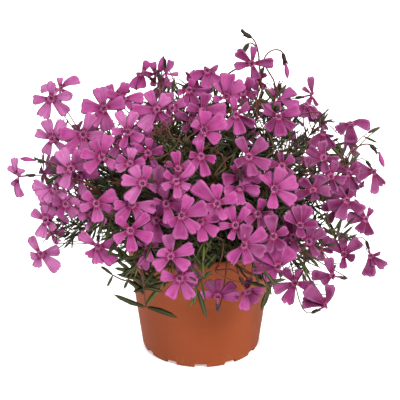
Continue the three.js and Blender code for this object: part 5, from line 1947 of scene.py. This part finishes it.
class Foliage:
    """Leafy shoots and needle leaves round every stem, kept clear of the blooms' faces."""

    # Between which heights over a petal a leaf spoils its look, and up to which one a tangled stalk does.
    BEHIND, BEFORE, TANGLE_BEFORE = -1.3, 8, 12
    # How far a charted stalk may go in front of its middle depth or behind it.
    LEVELS = 12.0
    # How far from a stem or shoot a charted leaf's foot may be.
    FURTHEST = 5.0

    def __init__(self, planting: Planting, box: tuple[Array, Array]) -> None:
        """Takes the layout and the box that everything stays in."""
        self.sprays, self.petals = planting.sprays, planting.petals
        self.low, self.high = box
        self.rng = np.random.default_rng(DETAIL_SEED)
        self.shoots: list[list[Shoot]] = [[] for _ in self.sprays]
        self.blades: list[Blades] = [Blades() for _ in self.sprays]
        self.single: list[Blades] = [Blades() for _ in self.sprays]

    def grow(self) -> None:
        """Grows every spray's shoots and leaves."""
        for i, spray in enumerate(self.sprays):
            stem = bezier(spray.control, 16)
            self.side_shoots(i, stem)
            self.skirt(i, stem, spray.hole)
        self.place_charted()
        for i, spray in enumerate(self.sprays):
            self.charted_leaves(i, spray)
            for shoot in self.shoots[i]:
                if shoot.leaf:
                    self.clothe(i, shoot)
            self.clothe(i, Shoot(bezier(spray.control, 12)[3:], nodes=3.8))
            self.thin(i)
            self.blades[i].rows += self.single[i].rows

    def nearest(self, at: Array) -> int:
        """Returns the number of the spray whose stem ends nearest to a place."""
        return int(np.argmin([np.linalg.norm(s.stem[-1] - at) for s in self.sprays]))

    def seen(self, place: Point, depth: float, level: float | None = None) -> Array:
        """Turns a chart place into a place in front of the pot.

        Args:
            place: the chart place, across and down.
            depth: how deep it lies, 1 on the plant's outline and less inside it.
            level: how far towards the viewer it lies, which then counts instead of the depth.

        Returns:
            The place.
        """
        at, ray, _ = DOME.meet(place, depth)
        if level is not None:
            at = VIEW.eye + ray * ((level - VIEW.eye @ VIEW.towards) / (ray @ VIEW.towards))
        while not pot_clear(at[None], 3.0)[0]:
            at = at + VIEW.towards
        return at

    def hung(self, carriers: Array, places: Sequence[Point], depth: float) -> Array:
        """Draws a stalk through chart places, from the nearest place on what carries it.

        Args:
            carriers: places on the stems and shoots.
            places: the chart places to go through.
            depth: how deep they lie, 1 on the plant's outline and less inside it.

        Returns:
            The stalk's path.
        """
        levels = np.array([self.seen(place, depth) for place in places]) @ VIEW.towards
        middle = (levels.min() + levels.max()) / 2
        levels = np.clip(levels, middle - self.LEVELS, middle + self.LEVELS)
        points = [self.seen(place, depth, level) for place, level in zip(places, levels)]
        first, last = (np.linalg.norm(carriers - end, axis=1) for end in (points[0], points[-1]))
        off = min(first, last, key=min)
        if off.min() > 1.0:
            points.insert(0 if off is first else len(points), carriers[int(off.argmin())])
        return centripetal(np.array(points), 12)

    def place_charted(self) -> None:
        """Adds the bare stalks and the single leaves that are charted, each on a stem or shoot near its foot."""
        held = [twig.smooth for spray in self.sprays for twig in spray.twigs]
        held += [bezier(spray.control, 40)[8:] for spray in self.sprays]
        held += [finer(shoot.path, 5) for shoots in self.shoots for shoot in shoots]
        carriers = np.vstack(held)
        for radius, tint, depth, places in STALKS:
            path = self.hung(carriers, places, depth)
            self.shoots[self.nearest(path[0])].append(Shoot(path, radius, tint, leaf=0.0))
            carriers = np.vstack([carriers, finer(path, 4)])
        for x, y, spread, count in TANGLES:
            for _ in range(count):
                self.tangle(carriers, (x, y), spread)
        for x0, y0, x1, y1, *look in LEAVES:
            self.single_leaf(carriers, (x0, y0), (x1, y1), *look)

    def tangle(self, carriers: Array, middle: Point, spread: float) -> None:
        """Adds one winding stalk near a chart place, unless it would stand before a petal.

        Args:
            carriers: places on the stems and shoots.
            middle: the chart place.
            spread: how far from it the stalk may start.
        """
        place = self.rng.normal(middle, spread)
        heading, bend = self.rng.uniform(0, 6.28), self.rng.uniform(-0.7, 0.7)
        step, depth = self.rng.uniform(4.0, 7.0), self.rng.uniform(0.88, 0.97)
        turns = heading + bend * np.arange(3)
        steps = step * np.column_stack([np.cos(turns), np.sin(turns)])
        path = self.hung(carriers, place + np.vstack([(0, 0), np.cumsum(steps, axis=0)]), depth)
        radius, tint, leafy = self.rng.uniform((0.4, 0.4, 0.0), (0.62, 1.2, 1.0))
        heights = self.petals.heights(path, 0.4)
        with np.errstate(invalid="ignore"):
            if not ((heights > self.BEHIND) & (heights < self.TANGLE_BEFORE)).any():
                shoot = Shoot(path, radius, tint, light=0.25, leaf=9.0 if leafy < 0.4 else 0.0)
                self.shoots[self.nearest(path[0])].append(shoot)

    def single_leaf(self, carriers: Array, low: Point, high: Point, width: float, tint: float, bend: float) -> None:
        """Adds one charted leaf where a stem or shoot is near its foot.

        Args:
            carriers: places on the stems and shoots.
            low: its foot's chart place.
            high: its tip's chart place.
            width: its width in millimetres.
            tint: how bright its green is.
            bend: how far it bows upwards, as a share of its length.
        """
        off = carriers - self.seen(low, 1.03)
        before = off @ VIEW.towards
        aside = np.linalg.norm(off - before[:, None] * VIEW.towards, axis=1)
        nearest = int((aside + 0.05 * np.abs(before)).argmin())
        if aside[nearest] > self.FURTHEST:
            return
        foot = carriers[nearest]
        tip = self.seen(high, 1.03, foot @ VIEW.towards)
        bow = VIEW.up * -bend * float(np.linalg.norm(tip - foot))
        way = unit(tip - bow - foot)
        wide = unit(np.cross(way, VIEW.towards) + VIEW.towards * self.rng.uniform(-0.3, 0.5))
        wide = unit(wide - way * float(wide @ way))
        reach = float(np.linalg.norm(tip - bow - foot))
        self.single[self.nearest(foot)].add(foot, way, wide, reach, width, bow, tint)

    def charted_leaves(self, i: int, spray: Spray) -> None:
        """Adds the leaves that the solids hold too, and those along charted shoots."""
        plain = [finer(t.points, 8) for t in spray.twigs if TWIGS.index(t.row) in PLAIN_TWIGS]
        for n in spray.needles:
            if all(np.linalg.norm(line - n.at, axis=1).min() >= 1.0 for line in plain):
                bow = np.cross(n.way, n.wide) * -0.08 * n.reach
                self.blades[i].add(n.at, n.way, n.wide, n.reach, LEAF.width, bow, self.rng.uniform(-0.6, 0.4))
        for twig in spray.twigs:
            if twig.row.leaf and TWIGS.index(twig.row) not in PLAIN_TWIGS:
                self.clothe(i, Shoot(twig.smooth[8:], nodes=6.0, leaf=14.5 * twig.row.leaf, light=0.4))

    def roomy(self, path: Array, inset: float) -> bool:
        """Says whether a shoot's path stays in the plant, off the pot and clear of petals."""
        inside = DOME.depth(path[-1:])[0] < inset and ((path > self.low + 3) & (path < self.high - 3)).all()
        return bool(inside and pot_clear(path, 1.6).all() and not self.petals.met(path, 0.9).any())

    def side_shoots(self, i: int, stem: Array) -> None:
        """Grows up to eight leafy shoots out of a stem's upper part."""
        s = np.linspace(0, 1, 7)[:, None]
        for _ in range(8):
            for _ in range(7):
                at, way = along(stem, self.rng.uniform(0.3, 1.0))
                outward = unit(at - np.array(STEMS.core) + vec(0, 0, 12))
                start = unit(way * 0.5 + outward * 0.6 + self.rng.normal(0, 0.45, 3))
                reach, sway = self.rng.uniform(18, 42), self.rng.normal(0, 0.12, 3)
                path = at + reach * (start * s + (UP_Z * 0.14 + sway) * s * s)
                if self.roomy(path, 0.97):
                    self.shoots[i].append(Shoot(path, 0.62, self.rng.uniform(-0.1, 0.9)))
                    break

    def skirt(self, i: int, stem: Array, hole: Array) -> None:
        """Grows up to five low shoots that lean out over the pot's rim, from a stem whose hole is far enough out."""
        s = np.linspace(0, 1, 7)[:, None]
        for _ in range(5 if np.linalg.norm(hole) >= 22 else 0):
            for _ in range(8):
                at, _ = along(stem, self.rng.uniform(0.12, 0.5))
                lean = UP_Z * self.rng.uniform(-0.1, 0.35)
                start = unit(unit(vec(*hole, 0)) + lean + self.rng.normal(0, 0.3, 3) * vec(1, 1, 0.3))
                reach = self.rng.uniform(20, 36)
                path = at + reach * (start * s - UP_Z * self.rng.uniform(0.05, 0.3) * s * s)
                if path[-1][2] > (92 if path[-1][1] < 0 else 80) and self.roomy(path, 1.02):
                    self.shoots[i].append(Shoot(path, 0.55, self.rng.uniform(-0.3, 0.4), leaf=12.0))
                    break

    def clothe(self, i: int, shoot: Shoot) -> None:
        """Sets opposite pairs and small tufts of needles along a shoot."""
        rng = self.rng
        length = float(np.linalg.norm(np.diff(shoot.path, axis=0), axis=1).sum())
        nodes = max(2, int(length / shoot.nodes))
        turn = rng.uniform(0, 6.3)
        for k in range(nodes + 1):
            at, up = along(shoot.path, min(0.06 + 0.94 * k / nodes, 1.0))
            side, last = across(up), k == nodes
            for j in range(4 if last else 3 if rng.uniform() < 0.45 else 2):
                a = turn + k * QUARTER_TURN + (j % 2) * math.pi + (j // 2) * 0.9 + rng.uniform(-0.35, 0.35)
                spread = rng.uniform(0.25, 0.6) if last else rng.uniform(0.7, 1.15)
                out = swung((side, np.cross(up, side)), 1, a)
                way = up * math.cos(spread) + out * math.sin(spread)
                reach = shoot.leaf * rng.uniform(0.65, 1.2) * (0.62 if j >= 2 else 1.0)
                tint = np.clip(rng.normal(-0.25, 0.42) + 0.25 * last + shoot.light, -1, 1)
                wide = unit(np.cross(up, out))
                bow = np.cross(way, wide) * rng.uniform(-0.2, 0.24) * reach
                self.blades[i].add(at, way, wide, reach, rng.uniform(1.5, 2.3), bow, tint)

    def thin(self, i: int) -> None:
        """Takes out the leaves that would stand in a bloom, before its face, in the pot or outside the box."""
        blades = self.blades[i]
        points = blades.points(vec(0.3, 0.65, 1.0))
        flat = points.reshape(-1, 3)
        heights = self.petals.heights(flat, 0.4)
        with np.errstate(invalid="ignore"):
            spoiled = ((heights > self.BEHIND) & (heights < self.BEFORE)).any(1)
        spoiled |= ~pot_clear(flat, 0.6) & (flat[:, 2] > SOIL.top - 1)
        spoiled |= ((flat < self.low + 0.5) | (flat > self.high - 0.5)).any(1) | (flat[:, 2] < 60)
        x, y = VIEW.chart(flat)
        left, top, right, bottom = GAP
        spoiled |= (x > left) & (x < right) & (y > top) & (y < bottom) & (flat[:, 1] < 0)
        bare = spoiled.reshape(points.shape[:2]).any(1)
        blades.rows = [row for row, out in zip(blades.rows, bare) if not out]


# ---- the pot and the soil
@dataclass
class MouldedPot:
    """The round moulded pot with its foot notches."""

    palette: Palette
    sizes: PotSizes = POT
    steps: int = 144

    def profile(self) -> list[tuple[float, float]]:
        """Returns the wall's rounded section as radius and height, from the floor's underside round to its top."""
        p = self.sizes
        foot, base, neck, rim, inner, top = p.foot_r, p.base_r, p.neck_r, p.rim_r, p.inner_r, p.height
        under, floor, corner = p.floor_under, p.floor_top, p.base_r - p.wall
        return [
            (0.0, under), (foot - 2.6, under), (foot - 2.2, under - 0.4), (foot - 1.9, 0.5), (foot - 1.5, 0.0),
            (foot - 0.7, 0.0), (foot + 0.1, 0.12), (foot + 0.7, 0.5), (base - 0.12, 1.2), (base + 0.18, 2.2),
            (base + 0.55, 4.4), (base + (neck - base) * 0.5, top * 0.48), (neck - 0.15, top - 6.4),
            (neck + 0.1, top - 5.4), (rim - 0.35, top - 5.0), (rim, top - 4.4), (rim, top - 1.1),
            (rim - 0.3, top - 0.35), (rim - 0.95, top), (inner + 0.9, top), (inner + 0.3, top - 0.5),
            (inner, top - 2.0), (inner - 0.4, top - 6.0), (corner + 0.6, floor + 3.0), (corner - 1.2, floor + 0.4),
            (corner - 3.0, floor), (0.0, floor),
        ]  # fmt: skip

    def build(self) -> Object:
        """Builds the wall and cuts its notches."""
        bm = bmesh.new()
        made = [bm.verts.new((r * MM, 0, z * MM)) for r, z in self.profile()]
        edges = [bm.edges.new(pair) for pair in zip(made[:-1], made[1:])]
        around = {"cent": (0, 0, 0), "axis": (0, 0, 1), "angle": FULL_TURN, "steps": self.steps}
        bmesh.ops.spin(bm, geom=made + edges, use_merge=True, **around)
        bmesh.ops.remove_doubles(bm, verts=bm.verts, dist=1e-6)
        bmesh.ops.recalc_face_normals(bm, faces=bm.faces)
        piece = shown("pot_wall", mesh_of("pot_wall", bm))
        self.notch(piece)
        piece.data.materials.clear()
        piece.data.materials.append(self.palette.pot)
        piece.data.shade_smooth()
        piece.data.set_sharp_from_angle(angle=math.radians(50))
        return piece

    def notch(self, piece: Object) -> None:
        """Cuts the small notches out of the foot ring."""
        p = self.sizes
        shift = Matrix.Translation(Vector((p.foot_r - 1, 0, 0)) * MM)
        size = Matrix.Diagonal(Vector((8, p.notch_width, p.notch_height * 2, 1000)) * MM)
        rounded = {"offset": 0.7 * MM, "segments": 3, "affect": "EDGES", "profile": 0.5, "material": -1}
        bm = bmesh.new()
        for k in range(p.notches):
            turn = Matrix.Rotation(k * FULL_TURN / p.notches, 4, "Z")
            cube = bmesh.ops.create_cube(bm, size=1, matrix=turn @ shift @ size)["verts"]
            upper = [e for v in cube for e in v.link_edges if min(w.co.z for w in e.verts) > 0]
            bmesh.ops.bevel(bm, geom=list(set(upper)), **rounded)
        cutter = shown("notch_tool", mesh_of("notch_tool", bm))
        cut = piece.modifiers.new("notches", "BOOLEAN")
        cut.operation, cut.object, cut.solver = "DIFFERENCE", cutter, "EXACT"
        result = bpy.data.meshes.new_from_object(piece.evaluated_get(bpy.context.evaluated_depsgraph_get()))
        piece.modifiers.clear()
        piece.data = result
        bpy.data.objects.remove(cutter)


@dataclass
class PottingSoil:
    """The soil's crumbs, over the packed soil node."""

    palette: Palette
    count: int = 420
    largest: float = 2.4

    def dress(self, node: Object) -> Object:
        """Gives the soil node its finish and scatters crumbs on it.

        Args:
            node: the packed soil.

        Returns:
            The crumbs.
        """
        node.data.materials.clear()
        node.data.materials.append(self.palette.soil)
        rng = np.random.default_rng(DETAIL_SEED + 900)
        bm = bmesh.new()
        bmesh.ops.create_icosphere(bm, subdivisions=1, radius=1)
        lump, batch = Template(bm), Batch()
        for _ in range(self.count):
            r, a = (POT.inner_r - 3) * math.sqrt(rng.uniform()), rng.uniform(0, FULL_TURN)
            size = self.largest * rng.uniform(0.25, 1.0) ** 1.5
            shape = lump.coords * rng.uniform(0.7, 1.25, lump.coords.shape) * vec(size, size, size * 0.7)
            top = SOIL.top + SOIL.crown * (1 - r / POT.inner_r) + size * 0.25
            batch.stamp(lump, shape + vec(r * math.cos(a), r * math.sin(a), top))
        return batch.build("soil_crumbs", self.palette.soil)


# ---- the stage
@dataclass(frozen=True)
class Lamp:
    """A square soft light: its name, place and side in metres, and power in watts."""

    name: str
    place: tuple[float, float, float]
    size: float
    power: float


@dataclass
class Studio:
    """A pale floor, soft lights and the camera."""

    palette: Palette
    view: ChartView = VIEW
    floor_r: float = 3.0
    daylight: float = 0.27
    aim: tuple[float, float, float] = (0, 0, 0.12)
    sensor: float = 36.0
    lamps: tuple[Lamp, ...] = (
        Lamp("key", (0.8, -1.45, 1.55), 0.6, 55.0),
        Lamp("fill", (1.3, -0.9, 0.3), 0.7, 3.5),
        Lamp("back", (-0.4, 1.6, 1.3), 1.1, 48.0),
        Lamp("top", (-0.6, -0.2, 2.2), 1.2, 22.0),
    )

    def build(self) -> None:
        """Sets the whole stage."""
        self.floor()
        self.world()
        for lamp in self.lamps:
            self.light(lamp)
        self.camera()

    def floor(self) -> None:
        """Lays the floor."""
        bm = bmesh.new()
        bmesh.ops.create_circle(bm, cap_ends=True, segments=96, radius=self.floor_r)
        mesh = mesh_of("floor", bm)
        mesh.materials.append(self.palette.floor)
        floor = shown("floor", mesh)
        floor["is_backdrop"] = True

    def world(self) -> None:
        """Lights the surroundings evenly."""
        world = bpy.data.worlds.new("studio")
        world.use_nodes = True
        background = world.node_tree.nodes["Background"].inputs
        background["Color"].default_value = (1, 1, 1, 1)
        background["Strength"].default_value = self.daylight
        bpy.context.scene.world = world
        bpy.context.scene.view_settings.view_transform = "Standard"

    def light(self, lamp: Lamp) -> None:
        """Hangs a lamp that faces the plant."""
        data = bpy.data.lights.new(lamp.name, "AREA")
        data.size, data.energy = lamp.size, lamp.power
        holder = shown(lamp.name, data)
        holder.location = lamp.place
        holder.rotation_euler = (Vector(self.aim) - Vector(lamp.place)).to_track_quat("-Z", "Y").to_euler()

    def camera(self) -> None:
        """Sets the camera up at the chart's view."""
        view = self.view
        lens = bpy.data.cameras.new("camera")
        lens.sensor_width = self.sensor
        lens.lens = view.focal / view.frame * self.sensor
        lens.shift_x = (view.frame / 2 - view.centre[0]) / view.frame
        lens.shift_y = (view.centre[1] - view.frame / 2) / view.frame
        camera = shown("camera", lens)
        camera.location = Vector(view.eye * MM)
        camera.rotation_euler = Vector(-view.towards).to_track_quat("-Z", "Y").to_euler()
        bpy.context.scene.camera = camera


def as_lists(box: object) -> object:
    """Returns a box of vectors as plain lists of numbers."""
    return float(box) if isinstance(box, (int, float)) else [as_lists(part) for part in box]


def fit(piece: Object, node: str) -> None:
    """Makes a piece stand for a node: puts it on the body and hides the node."""
    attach(piece, BODY)
    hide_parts(node)
    LOG.info("%s: %d faces, for %s", piece.name, len(piece.data.polygons), node)


def main() -> None:
    """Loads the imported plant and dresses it."""
    logging.basicConfig(level=logging.INFO, format="%(message)s")
    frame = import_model()
    solid_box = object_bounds()
    palette = Palette()
    Studio(palette).build()
    fit(MouldedPot(palette).build(), "pot")
    crumbs = PottingSoil(palette).dress(frame["nodes"]["soil"])
    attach(crumbs, BODY)
    planting = Planting()
    LOG.info("%d blooms on %d sprays", len(planting.blooms), len(planting.sprays))
    low, high = (np.array(corner) / MM for corner in solid_box)
    foliage = Foliage(planting, (low, high))
    foliage.grow()
    shapes = Shapes()
    for i, spray in enumerate(planting.sprays):
        dresser = SprayDresser(i, spray, shapes, palette)
        for piece in dresser.dress(foliage):
            fit(piece, dresser.node)
    {"solids": as_lists(solid_box), "dressed": as_lists(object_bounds())}


if __name__ == "__main__":
    main()
